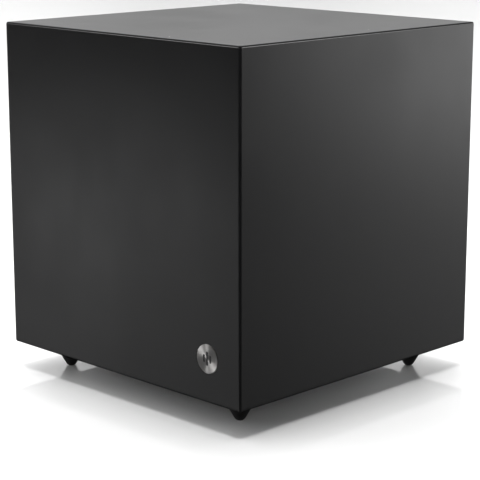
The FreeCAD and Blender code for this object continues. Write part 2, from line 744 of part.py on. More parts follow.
def spider():
    """A pleated cloth ring that centres the coil, bonded under the basket's ledge."""
    top = BASKET_LEDGE_Z
    bottom = top - SPIDER_THICKNESS
    first, last = SPIDER_INNER_RADIUS + SPIDER_NECK, SPIDER_LANDING_RADIUS - SPIDER_RIM
    lower = [(SPIDER_INNER_RADIUS, bottom)]
    for n in range(SPIDER_FOLDS + 1):
        radius = first + (last - first) * n / SPIDER_FOLDS
        lower.append((radius, bottom - (SPIDER_WAVE if n % 2 else 0.0)))
    lower.append((SPIDER_OUTER_RADIUS, bottom))
    upper = [(radius, z + SPIDER_THICKNESS) for radius, z in reversed(lower)]
    return turned_up(lower + upper)


def top_plate():
    return ring_up(TOP_PLATE_RADIUS, TOP_PLATE_BORE, (BASKET_TOP_Z, MAGNET_Z))


def magnet_ring():
    return ring_up(MAGNET_RADIUS, MAGNET_BORE, (MAGNET_Z, YOKE_Z))


def yoke_and_pole():
    top = YOKE_Z + YOKE_THICKNESS
    plate = rod_up(YOKE_RADIUS, (YOKE_Z, top))
    plate = plate.makeChamfer(YOKE_CHAMFER, [e for e in plate.Edges if e.BoundBox.ZMin > top - 0.01])
    pole = rod_up(POLE_RADIUS, (POLE_BOTTOM_Z, YOKE_Z))
    pole = pole.makeChamfer(POLE_CHAMFER, [lowest_rim(pole)])
    return plate.fuse(pole).cut(rod_up(POLE_VENT_RADIUS, (POLE_BOTTOM_Z, top))).removeSplitter()


def driver_terminals():
    """An insulating strip on the basket's boss, with two solder tags."""
    strip_x = (BOSS_X, BOSS_X + STRIP_THICKNESS)
    solids = [box(strip_x, around(MID_Y, STRIP_HALF_WIDTH), STRIP_Z)]
    for side in (-1, 1):
        tag_x = (strip_x[1], strip_x[1] + TAG_THICKNESS)
        solids.append(box(tag_x, around(MID_Y + side * TAG_OFFSET, TAG_HALF_WIDTH), TAG_Z))
    return solids


def tinsel_leads():
    """Two flexible braids from the back of the cone to the terminal strip, through a window."""
    solids = []
    for side in (-1, 1):
        start_z = cone_face_z(TINSEL_START[0]) + CONE_NECK_THICKNESS + TINSEL_LIFT
        start = V(TINSEL_START[0], MID_Y + side * TINSEL_START[1], start_z)
        middle = V(TINSEL_MIDDLE[0], MID_Y + side * TINSEL_MIDDLE[1], WINDOW_TOP_Z - TINSEL_LIFT)
        end = V(BOSS_X - TINSEL_RADIUS, MID_Y + side * TAG_OFFSET, STRIP_Z[0] + 1.0)
        path = Part.Arc(start, middle, end)
        section = Part.Circle(start, path.tangent(path.FirstParameter)[0], TINSEL_RADIUS).toShape()
        solids.append(Part.Wire([path.toShape()]).makePipeShell([Part.Wire([section])], True, False))
    return solids


def driver_screws():
    screws = []
    for x, y in driver_screw_places():
        screws.append(screw_up(x, y, FLANGE_FACE_Z, DRIVER_SCREW_TIP_Z, DRIVER_SCREW_RADIUS))
    return screws


# Reflex port


def port_mouth():
    """The flared mouth in the back, with a sleeve that holds the tube."""
    tube_radius = PORT_BORE + PORT_WALL
    face_y = REAR_Y + PORT_PROUD
    flare_radius = PORT_BORE + PORT_FLARE
    across = PORT_FLARE * math.sqrt(0.5)
    flare_middle = (flare_radius - across, face_y - PORT_FLARE + across)
    steps = [
        (PORT_BORE, PORT_SOCKET_Y),
        (PORT_BORE, face_y - PORT_FLARE),
        (flare_middle, (flare_radius, face_y)),
        (PORT_FLANGE_RADIUS, face_y - PORT_EDGE),
        (PORT_FLANGE_RADIUS, REAR_Y),
        (PORT_SLEEVE_RADIUS, REAR_Y),
        (PORT_SLEEVE_RADIUS, PORT_SLEEVE_Y),
        (tube_radius, PORT_SLEEVE_Y),
        (tube_radius, PORT_SOCKET_Y),
    ]
    return turned_back(steps, 0, PORT_Z)


def port_tube():
    """A straight tube whose inner end flares outwards."""
    outer = PORT_BORE + PORT_WALL
    arc_radius = PORT_BORE + PORT_INNER_FLARE
    inside = PORT_INNER_FLARE * math.sqrt(0.5)
    outside = (PORT_INNER_FLARE - PORT_WALL) * math.sqrt(0.5)
    end_y = PORT_BEND_Y - PORT_INNER_FLARE
    steps = [
        (PORT_BORE, PORT_SOCKET_Y),
        (PORT_BORE, PORT_BEND_Y),
        ((arc_radius - inside, PORT_BEND_Y - inside), (arc_radius, end_y)),
        (arc_radius, end_y + PORT_WALL),
        ((arc_radius - outside, PORT_BEND_Y - outside), (outer, PORT_BEND_Y)),
        (outer, PORT_SOCKET_Y),
    ]
    return turned_back(steps, 0, PORT_Z)


# Amplifier plate and its controls


def amp_plate():
    """The plate, with its openings."""
    plate = rounded_plate(around(0, PLATE_HALF_WIDTH), (PLATE_INNER_Y, REAR_Y), PLATE_Z, PLATE_CORNER)
    through = (PLATE_INNER_Y, REAR_Y)
    holes = amp_screw_holes(through)
    holes += [rod_back(BUSHING_RADIUS, through, x, CONTROL_Z) for x in (LEVEL_X, CROSSOVER_X)]
    holes += [rod_back(INPUT_COLLAR_RADIUS, through, x, INPUT_Z) for x in INPUT_XS]
    holes.append(rod_back(LAMP_RADIUS, through, LAMP_X, LAMP_Z))
    for x in (PHASE_X, AUTO_X):
        window = SWITCH_WINDOW_HALF
        holes.append(box(around(x, window[0]), through, around(CONTROL_Z, window[1])))
    holes.append(
        box(around(INLET_X, INLET_BODY_HALF[0]), through, around(INLET_Z, INLET_BODY_HALF[1]))
    )
    holes.append(
        box(around(ROCKER_X, ROCKER_BODY_HALF[0]), through, around(ROCKER_Z, ROCKER_BODY_HALF[1]))
    )
    return plate.cut(holes)


def board_spacers():
    """Four rods that stand on the plate's inner side and hold the amplifier board."""
    y = (AMP_BOARD_Y[1], PLATE_INNER_Y)
    return [rod_back(SPACER_RADIUS, y, x, z) for x, z in SPACER_PLACES]


def amp_gasket():
    y = (PLATE_INNER_Y - AMP_GASKET_THICKNESS, PLATE_INNER_Y)
    outer_z = (PLATE_Z[0] + 1.0, PLATE_Z[1] - 1.0)
    outer = rounded_plate(around(0, PLATE_HALF_WIDTH - 1.0), y, outer_z, PLATE_CORNER)
    inner_z = (AMP_CUTOUT_Z[0] - 1.0, AMP_CUTOUT_Z[1] + 1.0)
    inner = box(around(0, AMP_CUTOUT_HALF_WIDTH + 1.0), y, inner_z)
    return outer.cut([inner] + amp_screw_holes(y))


def amp_screws():
    screws = []
    for x, z in AMP_SCREW_PLACES:
        screws.append(screw_forward(x, z, REAR_Y, AMP_SCREW_TIP_Y, AMP_SCREW_RADIUS))
    return screws


def knob(x):
    """A tapered, fluted knob with a pointer line, hollow underneath over the shaft's nut."""
    base_y = REAR_Y + KNOB_GAP
    steps = [
        (SHAFT_RADIUS, base_y + KNOB_RECESS_DEPTH),
        (SHAFT_RADIUS, SHAFT_TIP_Y),
        (0, SHAFT_TIP_Y),
        (0, KNOB_TIP_Y),
        (KNOB_TIP_RADIUS - KNOB_CHAMFER, KNOB_TIP_Y),
        (KNOB_TIP_RADIUS, KNOB_TIP_Y - KNOB_CHAMFER),
        (KNOB_BASE_RADIUS, base_y),
        (KNOB_RECESS_RADIUS, base_y),
        (KNOB_RECESS_RADIUS, base_y + KNOB_RECESS_DEPTH),
    ]
    body = turned_back(steps, x, CONTROL_Z)
    flutes = []
    flute_y = (base_y + KNOB_FLUTE_START, KNOB_TIP_Y + PAST)
    for n in range(KNOB_FLUTES):
        angle = 2 * math.pi * (n + 0.5) / KNOB_FLUTES
        flute_x = x + KNOB_BASE_RADIUS * math.sin(angle)
        flute_z = CONTROL_Z + KNOB_BASE_RADIUS * math.cos(angle)
        flutes.append(rod_back(KNOB_FLUTE_RADIUS, flute_y, flute_x, flute_z))
    line_y = (KNOB_TIP_Y - KNOB_LINE_DEPTH, KNOB_TIP_Y + PAST)
    line_z = (CONTROL_Z + KNOB_LINE_START, CONTROL_Z + KNOB_BASE_RADIUS)
    line = box(around(x, KNOB_LINE_WIDTH / 2), line_y, line_z)
    return body.cut(flutes + [line])


def shaft(x):
    back_y = CONTROL_BOARD_Y[1] + POT_FLOOR + POT_SHAFT_GAP
    return rod_back(SHAFT_RADIUS, (back_y, SHAFT_TIP_Y), x, CONTROL_Z)


def level_knob():
    return knob(LEVEL_X)


def level_shaft():
    return shaft(LEVEL_X)


def crossover_knob():
    return knob(CROSSOVER_X)


def crossover_shaft():
    return shaft(CROSSOVER_X)


def control_pots():
    """Two rotary controls on the board, each with its threaded bushing and its nut."""
    board_y = CONTROL_BOARD_Y[1]
    body_tip = board_y + POT_BODY_LENGTH
    bushing_tip = REAR_Y + BUSHING_PROUD
    bore = SHAFT_RADIUS + SHAFT_CLEARANCE
    solids = []
    for x in (LEVEL_X, CROSSOVER_X):
        body = rod_back(POT_BODY_RADIUS, (board_y, body_tip), x, CONTROL_Z)
        bushing = rod_back(BUSHING_RADIUS, (body_tip, bushing_tip), x, CONTROL_Z)
        hole = rod_back(bore, (board_y + POT_FLOOR, bushing_tip), x, CONTROL_Z)
        solids.append(body.fuse(bushing).cut(hole).removeSplitter())
        nut_y = (REAR_Y, REAR_Y + POT_NUT_HEIGHT)
        corners = []
        for n in range(6):
            angle = math.radians(60 * n)
            corner_x = x + POT_NUT_RADIUS * math.cos(angle)
            corners.append(V(corner_x, nut_y[0], CONTROL_Z + POT_NUT_RADIUS * math.sin(angle)))
        hexagon = Part.Face(Part.makePolygon(corners + corners[:1]))
        nut = hexagon.extrude(BACK * POT_NUT_HEIGHT)
        solids.append(nut.cut(rod_back(BUSHING_RADIUS, nut_y, x, CONTROL_Z)))
    return solids


def slider(x):
    """A switch slider at the left end of its travel: a stem on a flat carriage."""
    left = x - SWITCH_TRAVEL / 2
    stem_y = (SWITCH_CARRIAGE_Y[1], SWITCH_STEM_TIP_Y)
    stem = rounded_plate(
        around(left, SWITCH_STEM_HALF[0]),
        stem_y,
        around(CONTROL_Z, SWITCH_STEM_HALF[1]),
        SWITCH_STEM_CORNER,
    )
    carriage = box(
        around(left, SWITCH_CARRIAGE_HALF[0]),
        SWITCH_CARRIAGE_Y,
        around(CONTROL_Z, SWITCH_CARRIAGE_HALF[1]),
    )
    return stem.fuse(carriage).removeSplitter()


def phase_slider():
    return slider(PHASE_X)


def auto_slider():
    return slider(AUTO_X)


def switch_bodies():
    """The two slide switches' housings, open in front where the stems pass."""
    solids = []
    reach = SWITCH_CARRIAGE_HALF[0] + SWITCH_TRAVEL / 2 + SWITCH_PLAY
    rise = SWITCH_CARRIAGE_HALF[1] + SWITCH_PLAY
    cavity_y = (SWITCH_CARRIAGE_Y[0] - SWITCH_PLAY, SWITCH_CARRIAGE_Y[1] + SWITCH_PLAY)
    slot_y = (SWITCH_CARRIAGE_Y[0], PLATE_INNER_Y)
    for x in (PHASE_X, AUTO_X):
        body_y = (CONTROL_BOARD_Y[1], PLATE_INNER_Y)
        body = box(around(x, SWITCH_BODY_HALF[0]), body_y, around(CONTROL_Z, SWITCH_BODY_HALF[1]))
        cavity = box(around(x, reach), cavity_y, around(CONTROL_Z, rise))
        slot = box(
            around(x, SWITCH_WINDOW_HALF[0]), slot_y, around(CONTROL_Z, SWITCH_WINDOW_HALF[1])
        )
        solids.append(body.cut(cavity).cut(slot))
    return solids


# Line inputs and lamp


def input_sleeves():
    """The outer metal sleeve of each line input, with a thicker root that the block holds."""
    sleeves = []
    for x in INPUT_XS:
        sleeve = rod_back(INPUT_SLEEVE_RADIUS, (INPUT_COLLAR_Y, INPUT_TIP_Y), x, INPUT_Z)
        root = rod_back(INPUT_ROOT_RADIUS, (INPUT_BACK_Y, INPUT_COLLAR_Y), x, INPUT_Z)
        bore = rod_back(INPUT_SLEEVE_BORE, (INPUT_BACK_Y, INPUT_TIP_Y), x, INPUT_Z)
        sleeves.append(sleeve.fuse(root).cut(bore).removeSplitter())
    return sleeves


def input_block():
    """One moulding that insulates both inputs: a block, two collars and two cores."""
    x = (min(INPUT_XS) - INPUT_BLOCK_MARGIN, max(INPUT_XS) + INPUT_BLOCK_MARGIN)
    y = (CONTROL_BOARD_Y[1], PLATE_INNER_Y)
    block = box(x, y, around(INPUT_Z, INPUT_BLOCK_HALF_HEIGHT))
    for middle in INPUT_XS:
        block = block.fuse(rod_back(INPUT_COLLAR_RADIUS, (y[1], INPUT_COLLAR_Y), middle, INPUT_Z))
        block = block.cut(
            rod_back(INPUT_ROOT_RADIUS, (INPUT_BACK_Y, INPUT_COLLAR_Y), middle, INPUT_Z)
        )
        block = block.fuse(
            rod_back(INPUT_SLEEVE_BORE, (INPUT_BACK_Y, INPUT_CORE_Y), middle, INPUT_Z)
        )
        block = block.cut(
            rod_back(INPUT_CONTACT_RADIUS, (y[0], INPUT_CORE_Y), middle, INPUT_Z)
        )
    return block.removeSplitter()


def input_contacts():
    """The spring socket in the middle of each line input, closed at its back."""
    solids = []
    for x in INPUT_XS:
        contact = rod_back(INPUT_CONTACT_RADIUS, (CONTROL_BOARD_Y[1], INPUT_CORE_Y), x, INPUT_Z)
        bore = rod_back(INPUT_CONTACT_BORE, (INPUT_BACK_Y, INPUT_CORE_Y), x, INPUT_Z)
        solids.append(contact.cut(bore))
    return solids


def status_lamp():
    """A small round lamp with a domed tip."""
    across = LAMP_RADIUS * math.sqrt(0.5)
    dome_y = LAMP_TIP_Y - LAMP_RADIUS
    steps = [
        (0, CONTROL_BOARD_Y[1]),
        (LAMP_RADIUS, CONTROL_BOARD_Y[1]),
        (LAMP_RADIUS, dome_y),
        ((across, dome_y + across), (0, LAMP_TIP_Y)),
    ]
    return turned_back(steps, LAMP_X, LAMP_Z)


# Mains inlet


def inlet_housing():
    """A snap-in inlet: a flange, a well for the plug and a slot for the fuse drawer."""
    flange = rounded_plate(
        around(INLET_X, INLET_FLANGE_HALF[0]),
        (REAR_Y, INLET_FLANGE_Y),
        around(INLET_Z, INLET_FLANGE_HALF[1]),
        INLET_FLANGE_CORNER,
    )
    face_edges = [e for e in flange.Edges if e.BoundBox.YMin > INLET_FLANGE_Y - 0.01]
    flange = flange.makeChamfer(INLET_FLANGE_CHAMFER, face_edges)
    body = box(
        around(INLET_X, INLET_BODY_HALF[0]),
        (INLET_BACK_Y, REAR_Y),
        around(INLET_Z, INLET_BODY_HALF[1]),
    )
    half_width, half_height = PLUG_WELL_HALF
    right, left = INLET_X + half_width, INLET_X - half_width
    top, bottom = PLUG_WELL_Z + half_height, PLUG_WELL_Z - half_height
    corners = [
        (left, bottom),
        (right, bottom),
        (right, top - PLUG_WELL_CHAMFER),
        (right - PLUG_WELL_CHAMFER, top),
        (left + PLUG_WELL_CHAMFER, top),
        (left, top - PLUG_WELL_CHAMFER),
    ]
    well_face = outline(corners, lambda x, z: V(x, PLUG_WELL_Y, z))
    well = well_face.extrude(BACK * (INLET_FLANGE_Y - PLUG_WELL_Y))
    slot = box(
        around(INLET_X, DRAWER_SLOT_HALF[0]),
        (DRAWER_SLOT_Y, INLET_FLANGE_Y),
        around(DRAWER_Z, DRAWER_SLOT_HALF[1]),
    )
    housing = flange.fuse(body).cut([well, slot] + blades())
    return housing.removeSplitter()


def blades():
    """Three contact blades, the middle one higher than the other two."""
    solids = []
    for n in (-1, 0, 1):
        z = PLUG_WELL_Z - BLADE_RISE if n else PLUG_WELL_Z + BLADE_RISE
        x = INLET_X + n * BLADE_PITCH
        solids.append(
            box(around(x, BLADE_HALF[0]), (BLADE_BACK_Y, BLADE_TIP_Y), around(z, BLADE_HALF[1]))
        )
    return solids


def inlet_pins():
    return blades()


def fuse_drawer():
    """A drawer with a finger lip, and a trough across it for the fuse."""
    body = box(
        around(INLET_X, DRAWER_HALF[0]),
        (DRAWER_BACK_Y, INLET_FLANGE_Y + DRAWER_LIP_GAP),
        around(DRAWER_Z, DRAWER_HALF[1]),
    )
    lip_y = INLET_FLANGE_Y + DRAWER_LIP_GAP
    lip = rounded_plate(
        around(INLET_X, DRAWER_LIP_HALF[0]),
        (lip_y, lip_y + DRAWER_LIP_THICKNESS),
        around(DRAWER_Z, DRAWER_LIP_HALF[1]),
        DRAWER_LIP_CORNER,
    )
    fuse_z = DRAWER_Z + FUSE_RISE
    trough_radius = FUSE_RADIUS + FUSE_PLAY
    trough_x = around(INLET_X, FUSE_HALF_LENGTH + FUSE_PLAY)
    trough = rod_right(trough_radius, trough_x, FUSE_Y, fuse_z)
    mouth = box(trough_x, around(FUSE_Y, trough_radius), (fuse_z, DRAWER_Z + DRAWER_HALF[1]))
    return body.fuse(lip).cut([trough, mouth]).removeSplitter()


def fuse():
    """A glass tube between two metal end caps."""
    z = DRAWER_Z + FUSE_RISE
    cap_start = FUSE_HALF_LENGTH - FUSE_CAP_LENGTH
    glass = rod_right(FUSE_GLASS_RADIUS, around(INLET_X, cap_start), FUSE_Y, z)
    left_x = (INLET_X - FUSE_HALF_LENGTH, INLET_X - cap_start)
    right_x = (INLET_X + cap_start, INLET_X + FUSE_HALF_LENGTH)
    caps = [rod_right(FUSE_RADIUS, x, FUSE_Y, z) for x in (left_x, right_x)]
    return [glass] + caps


# Power rocker


def rocker_profile_points():
    """Up and out from the pivot: where the sloping face meets the round end, and where that stops."""
    slope = math.tan(math.radians(ROCKER_TILT))
    a, b, c = 1 + slope**2, 2 * ROCKER_VALLEY * slope, ROCKER_VALLEY**2 - ROCKER_RADIUS**2
    end_across = (-b + math.sqrt(b**2 - 4 * a * c)) / (2 * a)
    end_out = ROCKER_VALLEY + slope * end_across
    foot_across = math.sqrt(ROCKER_RADIUS**2 - ROCKER_SKIRT**2)
    return end_across, end_out, foot_across


def power_rocker():
    """A shallow valley in front, round ends, and a keel below the pivot."""
    end_across, end_out, foot_across = rocker_profile_points()
    round_across = ROCKER_RADIUS * math.cos(ROCKER_ROUND_ANGLE)
    round_out = ROCKER_RADIUS * math.sin(ROCKER_ROUND_ANGLE)
    steps = [
        (0, ROCKER_VALLEY),
        (end_across, end_out),
        ((round_across, round_out), (foot_across, ROCKER_SKIRT)),
        ROCKER_KEEL,
        (-ROCKER_KEEL[0], ROCKER_KEEL[1]),
        (-foot_across, ROCKER_SKIRT),
        ((-round_across, round_out), (-end_across, end_out)),
    ]
    left = ROCKER_X - ROCKER_HALF_WIDTH
    face = outline(steps, lambda up, out: V(left, ROCKER_PIVOT_Y + out, ROCKER_Z + up))
    rocker = face.extrude(RIGHT * (2 * ROCKER_HALF_WIDTH))
    pin_x = around(ROCKER_X, ROCKER_HALF_WIDTH + TRUNNION_REACH)
    rocker = rocker.fuse(rod_right(TRUNNION_RADIUS, pin_x, ROCKER_PIVOT_Y, ROCKER_Z))
    rocker.rotate(V(ROCKER_X, ROCKER_PIVOT_Y, ROCKER_Z), RIGHT, -ROCKER_TILT)
    return rocker.removeSplitter()


def rocker_frame():
    """The rocker's housing: a bezel and a body, hollowed round the pivot."""
    bezel = rounded_plate(
        around(ROCKER_X, ROCKER_BEZEL_HALF[0]),
        (REAR_Y, ROCKER_BEZEL_Y),
        around(ROCKER_Z, ROCKER_BEZEL_HALF[1]),
        ROCKER_BEZEL_CORNER,
    )
    body = box(
        around(ROCKER_X, ROCKER_BODY_HALF[0]),
        (ROCKER_BACK_Y, REAR_Y),
        around(ROCKER_Z, ROCKER_BODY_HALF[1]),
    )
    hollow_x = around(ROCKER_X, ROCKER_HALF_WIDTH + ROCKER_CLEARANCE)
    hollow = rod_right(ROCKER_RADIUS + ROCKER_CLEARANCE, hollow_x, ROCKER_PIVOT_Y, ROCKER_Z)
    pin_x = around(ROCKER_X, ROCKER_HALF_WIDTH + TRUNNION_REACH + TRUNNION_END_PLAY)
    pin_hole = rod_right(TRUNNION_RADIUS + TRUNNION_CLEARANCE, pin_x, ROCKER_PIVOT_Y, ROCKER_Z)
    return bezel.fuse(body).cut([hollow, pin_hole]).removeSplitter()


# Electronics


def circuit_boards():
    """The control board behind the controls, and the amplifier board on the plate's spacers."""
    control = box(CONTROL_BOARD_X, CONTROL_BOARD_Y, CONTROL_BOARD_Z)
    amplifier = box(AMP_BOARD_X, AMP_BOARD_Y, AMP_BOARD_Z)
    return [control, amplifier]


def power_transformer():
    """A laminated core on two feet, and the coil round its middle leg."""
    x, z = TRANSFORMER_X, TRANSFORMER_Z
    half_width, half_height = TRANSFORMER_HALF
    window_width, window_height = TRANSFORMER_WINDOW_HALF
    core = box(around(x, half_width), TRANSFORMER_STACK_Y, around(z, half_height))
    for side in (-1, 1):
        window_x = sorted((x + side * TRANSFORMER_LEG_HALF, x + side * window_width))
        core = core.cut(box(window_x, TRANSFORMER_STACK_Y, around(z, window_height)))
        edge = x + side * half_width
        foot_x = sorted((edge, edge - side * TRANSFORMER_FOOT_WIDTH))
        foot_z = around(z, TRANSFORMER_FOOT_HALF_HEIGHT)
        core = core.fuse(box(foot_x, (TRANSFORMER_STACK_Y[1], PLATE_INNER_Y), foot_z))
    coil_x = around(x, window_width - COIL_PLAY)
    coil = box(coil_x, TRANSFORMER_COIL_Y, around(z, window_height - COIL_PLAY))
    coil = coil.cut(box(around(x, TRANSFORMER_LEG_HALF), TRANSFORMER_STACK_Y, around(z, half_height)))
    return [core.removeSplitter(), coil]


def capacitors():
    y = (AMP_BOARD_Y[0] - CAPACITOR_LENGTH, AMP_BOARD_Y[0])
    solids = []
    for x, z in CAPACITOR_PLACES:
        can = rod_back(CAPACITOR_RADIUS, y, x, z)
        end_rim = [e for e in can.Edges if e.BoundBox.YMax < y[0] + 0.01]
        solids.append(can.makeFillet(CAPACITOR_ROUND, end_rim))
    return solids


def heat_sink():
    base_y = (AMP_BOARD_Y[0] - HEAT_SINK_BASE, AMP_BOARD_Y[0])
    fin_y = (AMP_BOARD_Y[0] - HEAT_SINK_DEPTH, base_y[0])
    sink = box(HEAT_SINK_X, base_y, HEAT_SINK_Z)
    pitch = (HEAT_SINK_X[1] - HEAT_SINK_X[0] - HEAT_SINK_FIN) / (HEAT_SINK_FINS - 1)
    fins = []
    for n in range(HEAT_SINK_FINS):
        left = HEAT_SINK_X[0] + n * pitch
        fins.append(box((left, left + HEAT_SINK_FIN), fin_y, HEAT_SINK_Z))
    return sink.fuse(fins).removeSplitter()


def speaker_leads():
    """Two leads from the driver's tags, round the magnet, to the amplifier board."""
    tag_x = BOSS_X + STRIP_THICKNESS + TAG_THICKNESS / 2
    solids = []
    for side, height, depth in SPEAKER_RUNS:
        y = MID_Y + side * TAG_OFFSET
        route = [
            (tag_x, y, TAG_Z[1]),
            (tag_x, y, height),
            (tag_x, depth, height),
            (SPEAKER_END_X, depth, height),
            (SPEAKER_END_X, AMP_BOARD_Y[0], height),
        ]
        solids.append(lead(route))
    return solids


def mains_leads():
    """Leads from the inlet to the rocker, from the rocker to the transformer, and straight back."""
    live_z = PLUG_WELL_Z - BLADE_RISE
    right_blade, left_blade = INLET_X + BLADE_PITCH, INLET_X - BLADE_PITCH
    core_left = TRANSFORMER_X - TRANSFORMER_HALF[0]
    switched_z = ROCKER_Z - SWITCHED_DROP
    return_x = core_left - RETURN_STEP[0]
    return [
        lead(
            [
                (right_blade, BLADE_BACK_Y, live_z),
                (right_blade, LIVE_RUN_Y, live_z),
                (ROCKER_X, LIVE_RUN_Y, live_z),
                (ROCKER_X, ROCKER_BACK_Y, live_z),
            ]
        ),
        lead(
            [
                (ROCKER_X, ROCKER_BACK_Y, switched_z),
                (ROCKER_X, SWITCHED_RUN_Y, switched_z),
                (core_left, SWITCHED_RUN_Y, switched_z),
            ]
        ),
        lead(
            [
                (left_blade, BLADE_BACK_Y, live_z),
                (left_blade, LIVE_RUN_Y, live_z),
                (left_blade, LIVE_RUN_Y, RETURN_Z),
                (return_x, LIVE_RUN_Y, RETURN_Z),
                (return_x, RETURN_STEP[1], RETURN_Z),
                (core_left, RETURN_STEP[1], RETURN_Z),
            ],
            bend=RETURN_BEND,
        ),
    ]


PARTS = {
    "top_panel": top_panel,
    "bottom_panel": bottom_panel,
    "left_panel": left_panel,
    "right_panel": right_panel,
    "front_panel": front_panel,
    "rear_panel": rear_panel,
    "window_brace": window_brace,
    "wadding_pads": wadding_pads,
    "badge_disc": badge_disc,
    "badge_mark": badge_mark,
    "foot_studs": foot_studs,
    "foot_inserts": foot_inserts,
    "driver_basket": driver_basket,
    "driver_gasket": driver_gasket,
    "cone_surround": cone_surround,
    "driver_cone": driver_cone,
    "dust_cap": dust_cap,
    "coil_former": coil_former,
    "coil_winding": coil_winding,
    "spider": spider,
    "top_plate": top_plate,
    "magnet_ring": magnet_ring,
    "yoke_and_pole": yoke_and_pole,
    "driver_terminals": driver_terminals,
    "tinsel_leads": tinsel_leads,
    "driver_screws": driver_screws,
    "port_mouth": port_mouth,
    "port_tube": port_tube,
    "amp_plate": amp_plate,
    "board_spacers": board_spacers,
    "amp_gasket": amp_gasket,
    "amp_screws": amp_screws,
    "level_knob": level_knob,
    "level_shaft": level_shaft,
    "crossover_knob": crossover_knob,
    "crossover_shaft": crossover_shaft,
    "control_pots": control_pots,
    "phase_slider": phase_slider,
    "auto_slider": auto_slider,
    "switch_bodies": switch_bodies,
    "input_sleeves": input_sleeves,
    "input_block": input_block,
    "input_contacts": input_contacts,
    "status_lamp": status_lamp,
    "inlet_housing": inlet_housing,
    "inlet_pins": inlet_pins,
    "fuse_drawer": fuse_drawer,
    "fuse": fuse,
    "power_rocker": power_rocker,
    "rocker_frame": rocker_frame,
    "circuit_boards": circuit_boards,
    "power_transformer": power_transformer,
    "capacitors": capacitors,
    "heat_sink": heat_sink,
    "speaker_leads": speaker_leads,
    "mains_leads": mains_leads,
}


def save(name, made):
    """Writes one sub-part, which is one solid or a list of separate ones."""
    shape = Part.makeCompound(made) if isinstance(made, list) else made
    assert shape.isValid(), name
    print(name, len(shape.Solids), "solids", round(shape.Volume), "mm3")
    shape.exportStep("parts/" + name + ".step")


os.makedirs("parts", exist_ok=True)
for place_name, foot_x, foot_y in four_places():
    save("foot_" + place_name, foot(foot_x, foot_y))
for part_name, make in PARTS.items():
    save(part_name, make())
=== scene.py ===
import json
import math

import bmesh
import bpy
from mathutils import Matrix, Vector, noise


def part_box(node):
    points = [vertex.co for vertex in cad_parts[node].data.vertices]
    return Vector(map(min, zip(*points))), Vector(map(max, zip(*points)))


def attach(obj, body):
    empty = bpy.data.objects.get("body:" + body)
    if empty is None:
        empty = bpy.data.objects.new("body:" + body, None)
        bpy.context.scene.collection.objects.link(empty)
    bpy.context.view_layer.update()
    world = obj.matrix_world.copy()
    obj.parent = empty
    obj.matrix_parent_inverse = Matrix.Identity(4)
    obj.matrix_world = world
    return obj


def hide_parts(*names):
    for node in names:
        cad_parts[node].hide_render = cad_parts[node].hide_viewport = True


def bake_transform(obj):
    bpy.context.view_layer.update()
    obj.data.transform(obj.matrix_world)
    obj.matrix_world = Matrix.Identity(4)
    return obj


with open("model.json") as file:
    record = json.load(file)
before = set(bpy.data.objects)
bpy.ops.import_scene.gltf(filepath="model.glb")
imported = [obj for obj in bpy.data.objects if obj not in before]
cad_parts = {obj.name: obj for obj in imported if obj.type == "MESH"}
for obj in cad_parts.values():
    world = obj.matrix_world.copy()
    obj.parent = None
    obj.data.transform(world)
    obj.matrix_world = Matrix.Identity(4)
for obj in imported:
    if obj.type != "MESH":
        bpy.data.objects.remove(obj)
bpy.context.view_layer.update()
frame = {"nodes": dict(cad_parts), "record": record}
scene = bpy.context.scene
MM = 0.001

SLOT_OF = {entry["node"]: entry["material_slot"] for entry in frame["record"]["subparts"]}


# ---------------- places read from the frame

def middle(node):
    low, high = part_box(node)
    return (low + high) / 2


def cabinet_box():
    """Lowest and highest corner of the six outer boards together."""
    corners = [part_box(side + "_panel") for side in ("top", "bottom", "left", "right", "front", "rear")]
    low = Vector(min(c[0][i] for c in corners) for i in range(3))
    high = Vector(max(c[1][i] for c in corners) for i in range(3))
    return low, high


CAB_LOW, CAB_HIGH = cabinet_box()
CAB_MID = (CAB_LOW + CAB_HIGH) / 2
SIDE = CAB_HIGH.x - CAB_LOW.x
DRIVER_X, DRIVER_Y = middle("driver_basket").x, CAB_MID.y
BADGE = middle("badge_disc")
PLATE_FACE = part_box("amp_plate")[1].y
STROKE = 0.45 * MM  # width of the lines printed on the amplifier's plate


# ---------------- node helpers

